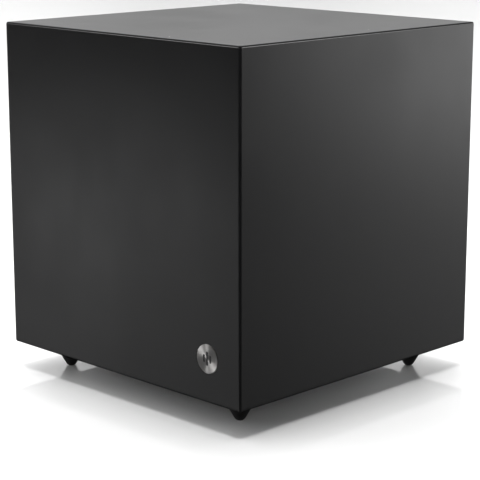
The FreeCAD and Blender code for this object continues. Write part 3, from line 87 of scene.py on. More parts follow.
class Paint:
    """One material's node tree, with short names for the nodes that this script uses."""

    def __init__(self, name, colour, roughness, metallic=0.0, **sockets):
        self.material = bpy.data.materials.new(name)
        self.material.use_nodes = True
        self.nodes = self.material.node_tree.nodes
        self.links = self.material.node_tree.links
        self.shader = self.nodes["Principled BSDF"]
        self.set("Base Color", (*colour, 1.0))
        self.set("Roughness", roughness)
        self.set("Metallic", metallic)
        for socket, value in sockets.items():
            self.set(socket.replace("_", " "), value)
        self.place = self.nodes.new("ShaderNodeTexCoord").outputs["Object"]
        self.relief = None

    def set(self, socket, value):
        self.shader.inputs[socket].default_value = value

    def node(self, kind, inputs, **settings):
        made = self.nodes.new(kind)
        for key, value in settings.items():
            setattr(made, key, value)
        for key, value in inputs.items():
            if isinstance(value, bpy.types.NodeSocket):
                self.links.new(value, made.inputs[key])
            else:
                made.inputs[key].default_value = value
        return made

    def math(self, operation, a, b=0.0, c=0.0):
        return self.node("ShaderNodeMath", {0: a, 1: b, 2: c}, operation=operation).outputs[0]

    def vector(self, operation, a, b=(0, 0, 0)):
        made = self.node("ShaderNodeVectorMath", {0: a, 1: b}, operation=operation)
        return made.outputs["Value" if operation in ("LENGTH", "DOT_PRODUCT") else "Vector"]

    def axes(self, vector):
        return self.node("ShaderNodeSeparateXYZ", {0: vector}).outputs

    def noise(self, scale, detail=3.0, roughness=0.55, stretch=(1, 1, 1)):
        where = self.vector("MULTIPLY", self.place, stretch)
        inputs = {"Vector": where, "Scale": scale, "Detail": detail, "Roughness": roughness}
        return self.node("ShaderNodeTexNoise", inputs).outputs["Fac"]

    def cells(self, scale, feature="F1"):
        inputs = {"Vector": self.place, "Scale": scale}
        return self.node("ShaderNodeTexVoronoi", inputs, feature=feature).outputs["Distance"]

    def span(self, value, low, high, to_low=0.0, to_high=1.0, smooth=True):
        """value between low and high becomes to_low to to_high, and stays there outside."""
        kind = "SMOOTHSTEP" if smooth else "LINEAR"
        inputs = {"Value": value, "From Min": low, "From Max": high, "To Min": to_low, "To Max": to_high}
        return self.node("ShaderNodeMapRange", inputs, interpolation_type=kind).outputs["Result"]

    def mix(self, factor, a, b):
        a = (*a, 1.0) if isinstance(a, tuple) and len(a) == 3 else a
        b = (*b, 1.0) if isinstance(b, tuple) and len(b) == 3 else b
        made = self.node("ShaderNodeMix", {0: factor, 6: a, 7: b}, data_type="RGBA")
        return made.outputs[2]

    def tint(self, factor, to_colour):
        """Moves the base colour towards another where factor is 1."""
        now = self.shader.inputs["Base Color"]
        source = now.links[0].from_socket if now.links else tuple(now.default_value)[:3]
        self.links.new(self.mix(factor, source, to_colour), now)

    def vary_roughness(self, factor, low, high):
        roughness = self.span(factor, 0.0, 1.0, low, high, smooth=False)
        self.links.new(roughness, self.shader.inputs["Roughness"])

    def bump(self, height, depth, strength=1.0):
        """Adds relief: height runs 0 to 1, and depth is in metres."""
        inputs = {"Height": height, "Distance": depth, "Strength": strength}
        if self.relief is not None:
            inputs["Normal"] = self.relief
        self.relief = self.node("ShaderNodeBump", inputs).outputs["Normal"]
        self.links.new(self.relief, self.shader.inputs["Normal"])

    def turned_distance(self, centre, flat_axis):
        """Distance from an axis through centre, along X, Y or Z."""
        keep = tuple(0.0 if i == flat_axis else 1.0 for i in range(3))
        offset = self.vector("SUBTRACT", self.place, tuple(centre))
        return self.vector("LENGTH", self.vector("MULTIPLY", offset, keep))


def near_edges(paint, low, high, reach):
    """1 at the outer edges of a box, fading to 0 at the reach from them, broken up by noise."""
    half = (high - low) / 2
    offset = paint.vector("SUBTRACT", paint.place, tuple((low + high) / 2))
    x, y, z = paint.axes(paint.vector("ABSOLUTE", offset))
    gaps = [paint.math("SUBTRACT", half[i], axis) for i, axis in enumerate((x, y, z))]
    smallest = paint.math("MINIMUM", paint.math("MINIMUM", gaps[0], gaps[1]), gaps[2])
    largest = paint.math("MAXIMUM", paint.math("MAXIMUM", gaps[0], gaps[1]), gaps[2])
    total = paint.math("ADD", paint.math("ADD", gaps[0], gaps[1]), gaps[2])
    second = paint.math("SUBTRACT", paint.math("SUBTRACT", total, smallest), largest)
    ragged = paint.math("ADD", second, paint.span(paint.noise(160.0), 0.0, 1.0, -reach * 0.5, reach * 0.5))
    return paint.span(ragged, 0.0, reach, 1.0, 0.0)


# ---------------- materials, one function each

def lacquer():
    """Satin black lacquer on fibreboard: faint orange peel, rubbed edges, bare board inside."""
    paint = Paint("lacquer", (0.0055, 0.0055, 0.0058), 0.2, IOR=1.5)
    peel = paint.noise(260.0, 2.0)
    drift = paint.noise(9.0, 3.0)
    smears = paint.noise(26.0, 4.0, stretch=(1.0, 1.0, 0.35))
    paint.bump(peel, 0.00001, 0.35)
    rubbed = near_edges(paint, CAB_LOW, CAB_HIGH, 0.0016)
    paint.tint(paint.math("MULTIPLY", rubbed, 0.1), (0.02, 0.02, 0.021))
    dust = paint.span(paint.noise(900.0, 2.0), 0.70, 0.80)
    paint.tint(paint.math("MULTIPLY", dust, 0.05), (0.16, 0.155, 0.15))
    inside = paint.vector("SUBTRACT", paint.place, tuple(CAB_MID))
    x, y, z = paint.axes(paint.vector("ABSOLUTE", inside))
    deepest = paint.math("MAXIMUM", paint.math("MAXIMUM", x, y), z)
    bare = paint.span(deepest, SIDE / 2 - 0.0019, SIDE / 2 - 0.0021)
    fibre = paint.mix(paint.noise(700.0, 5.0), (0.30, 0.19, 0.10), (0.46, 0.33, 0.19))
    paint.tint(bare, fibre)
    mixed = paint.math("ADD", paint.math("MULTIPLY", drift, 0.6), paint.math("MULTIPLY", smears, 0.4))
    gloss = paint.span(mixed, 0.3, 0.7, 0.17, 0.23)
    duller = paint.math("MULTIPLY", bare, 0.6)
    paint.links.new(paint.math("ADD", gloss, duller), paint.shader.inputs["Roughness"])
    return paint.material


def fibreboard():
    paint = Paint("fibreboard", (0.42, 0.30, 0.18), 0.85)
    paint.tint(paint.noise(700.0, 5.0), (0.28, 0.18, 0.10))
    paint.bump(paint.noise(900.0, 4.0), 0.0001, 0.5)
    paint.vary_roughness(paint.noise(60.0), 0.75, 0.95)
    return paint.material


def badge_metal():
    """Aluminium turned on a lathe: fine rings, a highlight that fans out from the middle."""
    paint = Paint("badge_metal", (0.54, 0.53, 0.52), 0.36, metallic=1.0, Anisotropic=0.95)
    offset = paint.vector("SUBTRACT", paint.place, tuple(BADGE))
    outward = paint.vector("NORMALIZE", paint.vector("MULTIPLY", offset, (1.0, 0.0, 1.0)))
    paint.links.new(outward, paint.shader.inputs["Tangent"])
    radius = paint.turned_distance(BADGE, 1)
    inputs = {"W": radius, "Scale": 9000.0, "Detail": 3.0}
    rings = paint.node("ShaderNodeTexNoise", inputs, noise_dimensions="1D").outputs["Fac"]
    paint.bump(rings, 0.000012, 0.6)
    paint.vary_roughness(rings, 0.3, 0.42)
    paint.tint(paint.span(paint.noise(300.0), 0.55, 0.8, 0.0, 0.25), (0.40, 0.39, 0.38))
    return paint.material


def dark_enamel():
    paint = Paint("dark_enamel", (0.012, 0.012, 0.013), 0.25)
    paint.vary_roughness(paint.noise(900.0), 0.2, 0.35)
    paint.bump(paint.noise(2000.0), 0.00001, 0.3)
    return paint.material


def foot_rubber():
    paint = Paint("foot_rubber", (0.008, 0.008, 0.008), 0.6)
    paint.bump(paint.noise(2600.0, 3.0), 0.00004, 0.5)
    height = paint.axes(paint.place)[2]
    dusty = paint.math("MULTIPLY", paint.span(height, 0.0, 0.004, 1.0, 0.0), paint.noise(700.0))
    paint.tint(paint.math("MULTIPLY", dusty, 0.35), (0.10, 0.095, 0.09))
    paint.vary_roughness(paint.noise(400.0), 0.5, 0.75)
    return paint.material


def plain_metal(name, colour, roughness, scratch_scale=500.0, stretch=(1, 1, 1)):
    paint = Paint(name, colour, roughness, metallic=1.0)
    scratches = paint.noise(scratch_scale, 5.0, 0.7, stretch)
    paint.vary_roughness(scratches, roughness * 0.7, min(roughness * 1.4, 1.0))
    paint.bump(scratches, 0.00001, 0.4)
    dull = paint.span(paint.noise(90.0), 0.5, 0.8, 0.0, 0.3)
    paint.tint(dull, tuple(c * 0.55 for c in colour))
    return paint.material


def moulded(name, colour, roughness, grain=1500.0, depth=0.00004, wear=0.4):
    """Moulded plastic or paint with an even fine grain."""
    paint = Paint(name, colour, roughness)
    paint.bump(paint.cells(grain, "SMOOTH_F1"), depth, 0.6)
    paint.vary_roughness(paint.noise(80.0), roughness * 0.85, min(roughness * 1.2, 1.0))
    lighter = tuple(c + (0.12 - c) * 0.25 for c in colour) if max(colour) < 0.12 else colour
    paint.tint(paint.span(paint.noise(50.0, 4.0), 0.45, 0.85, 0.0, wear), lighter)
    return paint.material


def cone_paper():
    """Pressed black pulp with fibres and a few concentric stiffening rings."""
    paint = Paint("cone_paper", (0.016, 0.016, 0.017), 0.72)
    fibres = paint.noise(1800.0, 6.0, 0.7)
    paint.bump(fibres, 0.00012, 0.6)
    radius = paint.turned_distance((DRIVER_X, DRIVER_Y, 0), 2)
    rings = paint.math("SINE", paint.math("MULTIPLY", radius, 2 * math.pi / 0.006))
    paint.bump(paint.span(rings, 0.6, 1.0), 0.0004, 0.5)
    paint.tint(paint.span(fibres, 0.5, 0.9), (0.05, 0.048, 0.046))
    paint.vary_roughness(paint.noise(140.0), 0.6, 0.85)
    return paint.material


def cap_paper():
    paint = Paint("cap_paper", (0.014, 0.014, 0.015), 0.38)
    paint.bump(paint.noise(1400.0, 5.0), 0.00008, 0.5)
    paint.vary_roughness(paint.noise(160.0), 0.3, 0.5)
    paint.tint(paint.span(paint.noise(30.0), 0.4, 0.8, 0.0, 0.3), (0.04, 0.04, 0.042))
    return paint.material


def surround_rubber():
    paint = Paint("surround_rubber", (0.012, 0.012, 0.013), 0.45)
    paint.bump(paint.noise(1500.0, 3.0), 0.00003, 0.5)
    paint.tint(paint.span(paint.noise(60.0, 4.0), 0.5, 0.85, 0.0, 0.35), (0.05, 0.05, 0.052))
    paint.vary_roughness(paint.noise(220.0), 0.38, 0.6)
    return paint.material


def spider_cloth():
    """Resin-dipped cotton: a plain weave that turns with the ring."""
    paint = Paint("spider_cloth", (0.50, 0.36, 0.14), 0.8)
    x, y, _ = paint.axes(paint.place)
    warp = paint.math("SINE", paint.math("MULTIPLY", x, 2 * math.pi / 0.0009))
    weft = paint.math("SINE", paint.math("MULTIPLY", y, 2 * math.pi / 0.0009))
    weave = paint.span(paint.math("MULTIPLY", warp, weft), -1.0, 1.0)
    paint.bump(weave, 0.00015, 0.7)
    paint.tint(paint.math("MULTIPLY", weave, 0.5), (0.32, 0.22, 0.08))
    paint.vary_roughness(paint.noise(90.0), 0.7, 0.9)
    return paint.material


def wadding():
    """Matted polyester fibre."""
    paint = Paint("wadding", (0.72, 0.71, 0.67), 0.95, Sheen_Weight=0.4, Sheen_Roughness=0.5)
    strands = paint.noise(420.0, 8.0, 0.75, (1.0, 0.35, 0.35))
    crossing = paint.noise(520.0, 8.0, 0.75, (0.35, 1.0, 0.35))
    matted = paint.math("MULTIPLY", paint.math("ADD", strands, crossing), 0.5)
    paint.bump(matted, 0.0012, 0.8)
    paint.tint(paint.span(matted, 0.42, 0.62), (0.45, 0.44, 0.41))
    paint.vary_roughness(paint.noise(100.0), 0.9, 1.0)
    return paint.material


def ferrite():
    paint = Paint("ferrite", (0.055, 0.055, 0.06), 0.6)
    paint.bump(paint.noise(1100.0, 5.0), 0.00008, 0.5)
    paint.tint(paint.span(paint.noise(240.0, 5.0), 0.5, 0.8), (0.10, 0.10, 0.105))
    paint.vary_roughness(paint.noise(200.0), 0.45, 0.8)
    return paint.material


def copper_wire():
    """Enamelled wire, wound turn on turn."""
    paint = Paint("copper_wire", (0.55, 0.20, 0.08), 0.3, metallic=0.9, Coat_Weight=0.6)
    height = paint.axes(paint.place)[2]
    turns = paint.math("SINE", paint.math("MULTIPLY", height, 2 * math.pi / 0.0004))
    paint.bump(paint.span(turns, -1.0, 1.0), 0.00015, 0.8)
    paint.vary_roughness(paint.noise(400.0), 0.22, 0.42)
    return paint.material


def input_plastic():
    """The inputs' moulding: black, with one red collar and one white collar."""
    paint = Paint("input_plastic", (0.02, 0.02, 0.02), 0.35)
    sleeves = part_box("input_sleeves")
    height = (sleeves[0].z + sleeves[1].z) / 2
    reach = (sleeves[1].z - sleeves[0].z) / 2
    red, white = (0.55, 0.02, 0.02), (0.75, 0.75, 0.73)
    for x, colour in ((sleeves[1].x - reach, red), (sleeves[0].x + reach, white)):
        radius = paint.turned_distance((x, 0, height), 1)
        paint.tint(paint.span(radius, 0.0063, 0.0061), colour)
    paint.bump(paint.noise(1200.0), 0.00002, 0.4)
    paint.vary_roughness(paint.noise(300.0), 0.28, 0.45)
    return paint.material


def lamp_lens():
    paint = Paint("lamp_lens", (0.10, 0.62, 0.16), 0.15, Transmission_Weight=0.4, IOR=1.5)
    paint.set("Emission Color", (0.1, 1.0, 0.2, 1.0))
    paint.set("Emission Strength", 0.6)
    paint.vary_roughness(paint.noise(900.0), 0.1, 0.25)
    paint.bump(paint.noise(1500.0), 0.00001, 0.3)
    return paint.material


def fuse_glass():
    """A clear tube between nickel caps, told apart by where along the fuse a point is."""
    paint = Paint("fuse_glass", (0.8, 0.84, 0.82), 0.08, IOR=1.5)
    along = paint.math("ABSOLUTE", paint.math("SUBTRACT", paint.axes(paint.place)[0], middle("fuse").x))
    cap = paint.span(along, 0.00495, 0.00505)
    paint.tint(cap, (0.7, 0.68, 0.62))
    paint.links.new(cap, paint.shader.inputs["Metallic"])
    clear = paint.math("MULTIPLY", paint.math("SUBTRACT", 1.0, cap), 0.85)
    paint.links.new(clear, paint.shader.inputs["Transmission Weight"])
    paint.bump(paint.noise(700.0), 0.00001, 0.3)
    paint.vary_roughness(paint.noise(500.0), 0.05, 0.25)
    return paint.material


def board_laminate():
    """Green solder mask over copper tracks, with tinned pads."""
    paint = Paint("board_laminate", (0.012, 0.10, 0.035), 0.35)
    x, _, z = paint.axes(paint.place)
    lanes = paint.math("SINE", paint.math("MULTIPLY", x, 2 * math.pi / 0.004))
    steps = paint.math("SINE", paint.math("MULTIPLY", z, 2 * math.pi / 0.011))
    tracks = paint.span(paint.math("MULTIPLY", lanes, steps), 0.35, 0.45)
    paint.tint(paint.math("MULTIPLY", tracks, 0.7), (0.02, 0.17, 0.06))
    paint.bump(tracks, 0.00004, 0.7)
    pads = paint.span(paint.cells(240.0), 0.16, 0.14)
    paint.tint(pads, (0.55, 0.55, 0.55))
    paint.vary_roughness(paint.noise(120.0), 0.28, 0.45)
    return paint.material


def core_steel():
    """Stacked laminations, tinted by varnish."""
    paint = Paint("core_steel", (0.20, 0.19, 0.18), 0.45, metallic=0.8)
    y = paint.axes(paint.place)[1]
    sheets = paint.math("SINE", paint.math("MULTIPLY", y, 2 * math.pi / 0.0010))
    paint.bump(paint.span(sheets, -1.0, 1.0), 0.0002, 0.7)
    paint.tint(paint.span(paint.noise(120.0), 0.4, 0.8, 0.0, 0.5), (0.12, 0.07, 0.03))
    paint.vary_roughness(paint.noise(200.0), 0.35, 0.6)
    return paint.material


# Colour, roughness, then scale of the scratches where it isn't the usual one
METALS = {
    "zinc_steel": ((0.60, 0.60, 0.58), 0.35),
    "insert_brass": ((0.70, 0.52, 0.25), 0.35),
    "former_foil": ((0.72, 0.72, 0.73), 0.3),
    "motor_steel": ((0.33, 0.33, 0.34), 0.38, 300.0),
    "tag_brass": ((0.72, 0.55, 0.27), 0.3),
    "tinsel_braid": ((0.62, 0.42, 0.25), 0.4, 2500.0),
    "black_screw": ((0.045, 0.045, 0.048), 0.4, 900.0),
    "gilt_metal": ((0.90, 0.62, 0.22), 0.18),
    "nickel_blade": ((0.70, 0.67, 0.60), 0.25),
    "sink_aluminium": ((0.14, 0.14, 0.145), 0.4, 700.0),
}
# Colour, roughness, scale and depth of the grain, then wear where it isn't the usual one
MOULDINGS = {
    "cast_frame": ((0.02, 0.02, 0.021), 0.42, 900.0, 0.00006),
    "gasket_foam": ((0.015, 0.015, 0.015), 0.9, 1800.0, 0.00015),
    "port_plastic": ((0.013, 0.013, 0.014), 0.42, 2200.0, 0.00003),
    "plate_paint": ((0.016, 0.016, 0.017), 0.5, 1300.0, 0.00007, 0.15),
    "knob_plastic": ((0.02, 0.02, 0.021), 0.45, 2000.0, 0.00003),
    "inlet_plastic": ((0.014, 0.014, 0.015), 0.4, 1800.0, 0.00003),
    "rocker_plastic": ((0.018, 0.018, 0.019), 0.28, 2400.0, 0.00002),
    "can_sleeve": ((0.02, 0.02, 0.07), 0.25, 1200.0, 0.00001),
    "lead_plastic": ((0.30, 0.02, 0.018), 0.4, 1000.0, 0.00002),
    "resistor_lacquer": ((0.50, 0.36, 0.14), 0.4, 1200.0, 0.00002),
}
OTHERS = {
    "cabinet_lacquer": lacquer,
    "fibreboard": fibreboard,
    "wadding": wadding,
    "badge_metal": badge_metal,
    "dark_enamel": dark_enamel,
    "foot_rubber": foot_rubber,
    "surround_rubber": surround_rubber,
    "cone_paper": cone_paper,
    "cap_paper": cap_paper,
    "copper_wire": copper_wire,
    "spider_cloth": spider_cloth,
    "ferrite": ferrite,
    "input_plastic": input_plastic,
    "lamp_lens": lamp_lens,
    "fuse_glass": fuse_glass,
    "board_laminate": board_laminate,
    "core_steel": core_steel,
}
finishes = {slot: make() for slot, make in OTHERS.items()}
finishes.update({slot: plain_metal(slot, *look) for slot, look in METALS.items()})
finishes.update({slot: moulded(slot, *look) for slot, look in MOULDINGS.items()})

for name, node in frame["nodes"].items():
    node.data.materials.clear()
    node.data.materials.append(finishes[SLOT_OF[name]])


# ---------------- mesh helpers

def finished(name, mesh, finish, body="root"):
    """An object with smooth faces and a material, riding on a body unless that is left to the caller."""
    item = bpy.data.objects.new(name, mesh)
    scene.collection.objects.link(item)
    mesh.materials.append(finish)
    mesh.shade_smooth()
    mesh.set_sharp_from_angle(angle=math.radians(40))
    if body:
        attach(item, body)
    return item


def part(name, mesh, slot, body="root"):
    return finished(name, mesh, finishes[slot], body)


def mesh_of(build):
    """A mesh from a bmesh that the given function fills, with its faces turned outwards."""
    shape = bmesh.new()
    build(shape)
    bmesh.ops.recalc_face_normals(shape, faces=shape.faces)
    mesh = bpy.data.meshes.new("mesh")
    shape.to_mesh(mesh)
    shape.free()
    return mesh


def upright(x, y):
    """Places a turned point round a vertical axis."""
    return lambda radius, angle, z: (x + radius * math.cos(angle), y + radius * math.sin(angle), z)


def facing_back(x, z):
    """Places a turned point round an axis along Y."""
    return lambda radius, angle, y: (x + radius * math.cos(angle), y, z + radius * math.sin(angle))


def join_loops(shape, first, second):
    """Quads between two loops of as many points."""
    for i in range(len(first)):
        j = (i + 1) % len(first)
        shape.faces.new((first[i], first[j], second[j], second[i]))


def add_turned(shape, profile, place, segments):
    """A closed profile of (radius, height) turned all the way round."""
    rings = []
    for n in range(segments):
        angle = 2 * math.pi * n / segments
        rings.append([shape.verts.new(place(radius, angle, height)) for radius, height in profile])
    for ring, following in zip(rings, rings[1:] + rings[:1]):
        join_loops(shape, ring, following)


def add_block(shape, low, high, rounding):
    """A block with rounded edges."""
    made = bmesh.ops.create_cube(shape, size=1.0)["verts"]
    low, high = Vector(low), Vector(high)
    for vert in made:
        vert.co = [low[i] + (vert.co[i] + 0.5) * (high[i] - low[i]) for i in range(3)]
    edges = {edge for vert in made for edge in vert.link_edges}
    bmesh.ops.bevel(shape, geom=list(edges), offset=rounding, segments=2, profile=0.6, affect="EDGES")


def add_tube(shape, path, radius, sides):
    """A round wire along points, closed at both ends."""
    path = [Vector(point) for point in path]
    no_wire_runs_here = Vector((0.31, 0.52, 0.79))
    rings = []
    for n, point in enumerate(path):
        along = (path[min(n + 1, len(path) - 1)] - path[max(n - 1, 0)]).normalized()
        across = along.cross(no_wire_runs_here).normalized()
        beside = along.cross(across)
        ring = []
        for k in range(sides):
            angle = 2 * math.pi * k / sides
            outwards = across * math.cos(angle) + beside * math.sin(angle)
            ring.append(shape.verts.new(point + outwards * radius))
        rings.append(ring)
    for ring, following in zip(rings, rings[1:]):
        join_loops(shape, ring, following)
    shape.faces.new(rings[0])
    shape.faces.new(rings[-1])


def arc(centre, reach, first, last, steps):
    """Points along a part of an ellipse, from one angle to another in degrees."""
    points = []
    for n in range(steps + 1):
        angle = math.radians(first + (last - first) * n / steps)
        points.append((centre[0] + reach[0] * math.cos(angle), centre[1] + reach[1] * math.sin(angle)))
    return points


# ---------------- driver: soft parts and glue

def radial_blend(item):
    """Lays each point out along X by its distance from the driver's axis, bakes the object's transform into
    the mesh, and then puts each point back.
    """
    verts = item.data.vertices
    places = [vert.co.copy() for vert in verts]
    for vert, place in zip(verts, places):
        vert.co = (math.hypot(place.x - DRIVER_X, place.y - DRIVER_Y), 0, 0)
    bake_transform(item)
    for vert, place in zip(verts, places):
        vert.co = place
    item.data.update()


def surround():
    """The rubber half roll, with a raised bead on its landing and soft feet where the roll starts."""
    low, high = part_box("cone_surround")
    rubber, overlap, edge = 0.8 * MM, 5.0 * MM, 0.3 * MM
    bead, bead_half, bead_depth = 2.5 * MM, 0.5 * MM, 0.35 * MM
    foot, foot_depth = 0.6 * MM, 0.1 * MM
    rim = high.x - DRIVER_X
    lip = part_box("driver_cone")[1].x - DRIVER_X
    under = high.z - rubber
    roll = under - low.z
    centre = lip + 0.1 * MM + roll
    inner = lip - overlap
    below = [(rim, under + edge), (rim - edge, under)]
    bead_x = rim - bead
    below += [(bead_x + bead_half, under), (bead_x, under - bead_depth), (bead_x - bead_half, under)]
    below += [(centre + roll + 2 * foot, under), (centre + roll + foot, under - foot_depth)]
    below += arc((centre, under), (roll, roll), -8, -172, 24)
    below += [(centre - roll - foot, under - foot_depth), (centre - roll - 2 * foot, under)]
    below += [(inner + edge, under), (inner, under + edge)]
    above = [(inner, high.z)] + arc((centre, high.z), (roll - rubber, roll), -180, 0, 20) + [(rim, high.z)]
    place = upright(DRIVER_X, DRIVER_Y)
    mesh = mesh_of(lambda shape: add_turned(shape, below + above, place, 144))
    item = part("surround_roll", mesh, "surround_rubber", body=None)
    radial_blend(item)
    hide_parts("cone_surround")


def spider():
    """The corrugated cloth ring, with a flat landing outside and a flat neck at the coil."""
    low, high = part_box("spider")
    outer = high.x - DRIVER_X
    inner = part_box("coil_former")[1].x - DRIVER_X + 0.3 * MM
    cloth = 0.6 * MM
    middle_z = (low.z + high.z) / 2
    landing_z = high.z - cloth / 2 - 0.1 * MM
    neck, landing = inner + 3.5 * MM, outer - 8.0 * MM
    wave = (high.z - low.z) / 2 - cloth / 2 - 0.05 * MM
    folds, steps = 5, 90
    line = [(inner, middle_z)]
    for n in range(steps + 1):
        share = n / steps
        height = middle_z + wave * math.sin(2 * math.pi * folds * share)
        line.append((neck + (landing - neck) * share, height))
    line += [(landing + 1.5 * MM, landing_z), (outer, landing_z)]
    profile = [(r, z - cloth / 2) for r, z in line] + [(r, z + cloth / 2) for r, z in reversed(line)]
    place = upright(DRIVER_X, DRIVER_Y)
    mesh = mesh_of(lambda shape: add_turned(shape, profile, place, 96))
    item = part("spider_cloth", mesh, "spider_cloth", body=None)
    radial_blend(item)
    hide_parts("spider")


def tinsel_leads():
    """Two twisted braids from the cone to the terminal strip, each of three strands."""
    low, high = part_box("tinsel_leads")
    strip_low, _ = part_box("driver_terminals")
    radius = 0.8 * MM
    strand, twist_radius, twist_length = 0.36 * MM, 0.42 * MM, 4.5 * MM
    strands, steps = 3, 64
    for side, name in ((-1, "tinsel_front"), (1, "tinsel_back")):
        start = Vector((low.x + radius, DRIVER_Y + side * 5.0 * MM, low.z + radius))
        end = Vector((high.x - radius * 0.6, DRIVER_Y + side * 6.0 * MM, strip_low.z + 1.0 * MM))
        crown = Vector(((start.x + end.x) / 2, (start.y + end.y) / 2, high.z + 2.6 * MM))
        line = []
        for n in range(steps + 1):
            t = n / steps
            line.append(start * (1 - t) ** 2 + crown * (2 * t * (1 - t)) + end * t**2)
        length = sum((b - a).length for a, b in zip(line, line[1:]))

        def build(shape, line=line, length=length):
            for k in range(strands):
                route = []
                for n, point in enumerate(line):
                    angle = 2 * math.pi * (k / strands + length * n / steps / twist_length)
                    route.append(point + Vector((0, math.cos(angle), math.sin(angle))) * twist_radius)
                add_tube(shape, route, strand, 6)

        item = part(name, mesh_of(build), "tinsel_braid", body=None)
        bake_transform(item)
        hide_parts("tinsel_leads")


def glue_bead(name, radius, height, width, body):
    """A ring of dried glue whose width wanders a little."""
    def build(shape):
        place = upright(DRIVER_X, DRIVER_Y)
        segments = 180
        rings = []
        for n in range(segments):
            angle = 2 * math.pi * n / segments
            girth = width * (1 + 0.12 * math.sin(5 * angle + 1) + 0.08 * math.sin(13 * angle))
            profile = arc((radius, height), (girth, girth * 0.4), 0, 360, 10)[:-1]
            rings.append([shape.verts.new(place(r, angle, z)) for r, z in profile])
        for ring, following in zip(rings, rings[1:] + rings[:1]):
            join_loops(shape, ring, following)

    part(name, mesh_of(build), "surround_rubber", body)


def driver_glue():
    """Beads round the dust cap, under the surround's foot and round the coil former."""
    _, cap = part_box("dust_cap")
    lip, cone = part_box("driver_cone")
    _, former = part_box("coil_former")
    beads = (
        ("cap_glue", cap.x + 0.4 * MM, cap.z - 1.0 * MM, 1.1 * MM),
        ("lip_glue", cone.x - 5.4 * MM, lip.z + 0.1 * MM, 0.9 * MM),
        ("neck_glue", former.x + 0.5 * MM, cone.z + 0.2 * MM, 0.8 * MM),
    )
    for name, reach, height, width in beads:
        glue_bead(name, reach - DRIVER_X, height, width, "woofer_cone")


# ---------------- damping pads

def stuffed(item, pinned, cap, frames):
    """Cloth simulation: the closed form swells, held where pinned, and no point moves past the cap."""
    mesh = item.data
    before = [vert.co.copy() for vert in mesh.vertices]
    group = item.vertex_groups.new(name="held")
    group.add([vert.index for vert in mesh.vertices if pinned(vert.co)], 1.0, "REPLACE")
    modifier = item.modifiers.new("swell", "CLOTH")
    settings = modifier.settings
    settings.quality = 5
    settings.mass = 0.3
    settings.use_pressure = True
    settings.uniform_pressure_force = 4.0
    settings.vertex_group_mass = "held"
    settings.effector_weights.gravity = 0.0
    modifier.point_cache.frame_start = 1
    modifier.point_cache.frame_end = frames
    for n in range(1, frames + 1):
        scene.frame_set(n)
    shaped = item.evaluated_get(bpy.context.evaluated_depsgraph_get()).to_mesh()
    after = [vert.co.copy() for vert in shaped.vertices]
    item.modifiers.remove(modifier)
    item.vertex_groups.remove(group)
    for vert, old, new in zip(mesh.vertices, before, after):
        move = new - old
        if move.length > cap:
            move = move.normalized() * cap
        vert.co = old + move
    scene.frame_set(1)


def staple_spots(low, high, across, columns=3, rows=2):
    """Places in even rows over a box's face, which lies along the two axes in across."""
    spots = []
    for column in range(columns):
        for row in range(rows):
            spot = (low + high) / 2
            spot[across[0]] = low[across[0]] + (high[across[0]] - low[across[0]]) * (column + 0.5) / columns
            spot[across[1]] = low[across[1]] + (high[across[1]] - low[across[1]]) * (row + 0.5) / rows
            spots.append(spot)
    return spots


def damping_pad(name, low, high, wall_axis, wall_side, seed):
    """A batt of polyester fibre glued to a wall: a crowned soft block with stapled dimples and tufts."""
    inset, corner, voxel, held, swell = 4.5 * MM, 3.0 * MM, 5.0 * MM, 1.0 * MM, 4.0 * MM
    dimple_depth, dimple_reach, tuft_height, tuft_sink = 6.0 * MM, 9.0 * MM, 1.3 * MM, 0.9 * MM
    soft_low, soft_high = low.copy(), high.copy()
    for axis in range(3):
        if axis != wall_axis:
            soft_low[axis] += inset
            soft_high[axis] -= inset
    if wall_side > 0:
        soft_low[wall_axis] += inset
        wall = high[wall_axis]
    else:
        soft_high[wall_axis] -= inset
        wall = low[wall_axis]
    item = part(name, mesh_of(lambda shape: add_block(shape, soft_low, soft_high, corner)), "wadding", None)
    bpy.context.view_layer.objects.active = item
    item.select_set(True)
    item.data.remesh_voxel_size = voxel
    bpy.ops.object.voxel_remesh()
    stuffed(item, lambda place: abs(place[wall_axis] - wall) < held, swell, 12)
    finer = item.modifiers.new("finer", "SUBSURF")
    finer.levels = finer.render_levels = 1
    shaped = bpy.data.meshes.new_from_object(item.evaluated_get(bpy.context.evaluated_depsgraph_get()))
    item.modifiers.remove(finer)
    item.data = shaped
    item.select_set(False)
    across = [axis for axis in range(3) if axis != wall_axis]
    staples = staple_spots(low, high, across)
    for vert in item.data.vertices:
        distance = abs(vert.co[wall_axis] - wall)
        share = min(distance / (high[wall_axis] - low[wall_axis]), 1.0)
        push = 0.0
        for spot in staples:
            away = math.hypot(vert.co[across[0]] - spot[across[0]], vert.co[across[1]] - spot[across[1]])
            push += dimple_depth * math.exp(-((away / dimple_reach) ** 2))
        tuft = noise.fractal(vert.co * 60.0 + Vector((seed, 0, 0)), 0.6, 2.2, 5) * tuft_height
        vert.co[wall_axis] += wall_side * share * push
        vert.co += vert.normal * (tuft - tuft_sink) * share
        for axis in range(3):
            vert.co[axis] = min(max(vert.co[axis], low[axis]), high[axis])
    item.data.update()
    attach(item, "root")
    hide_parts("wadding_pads")


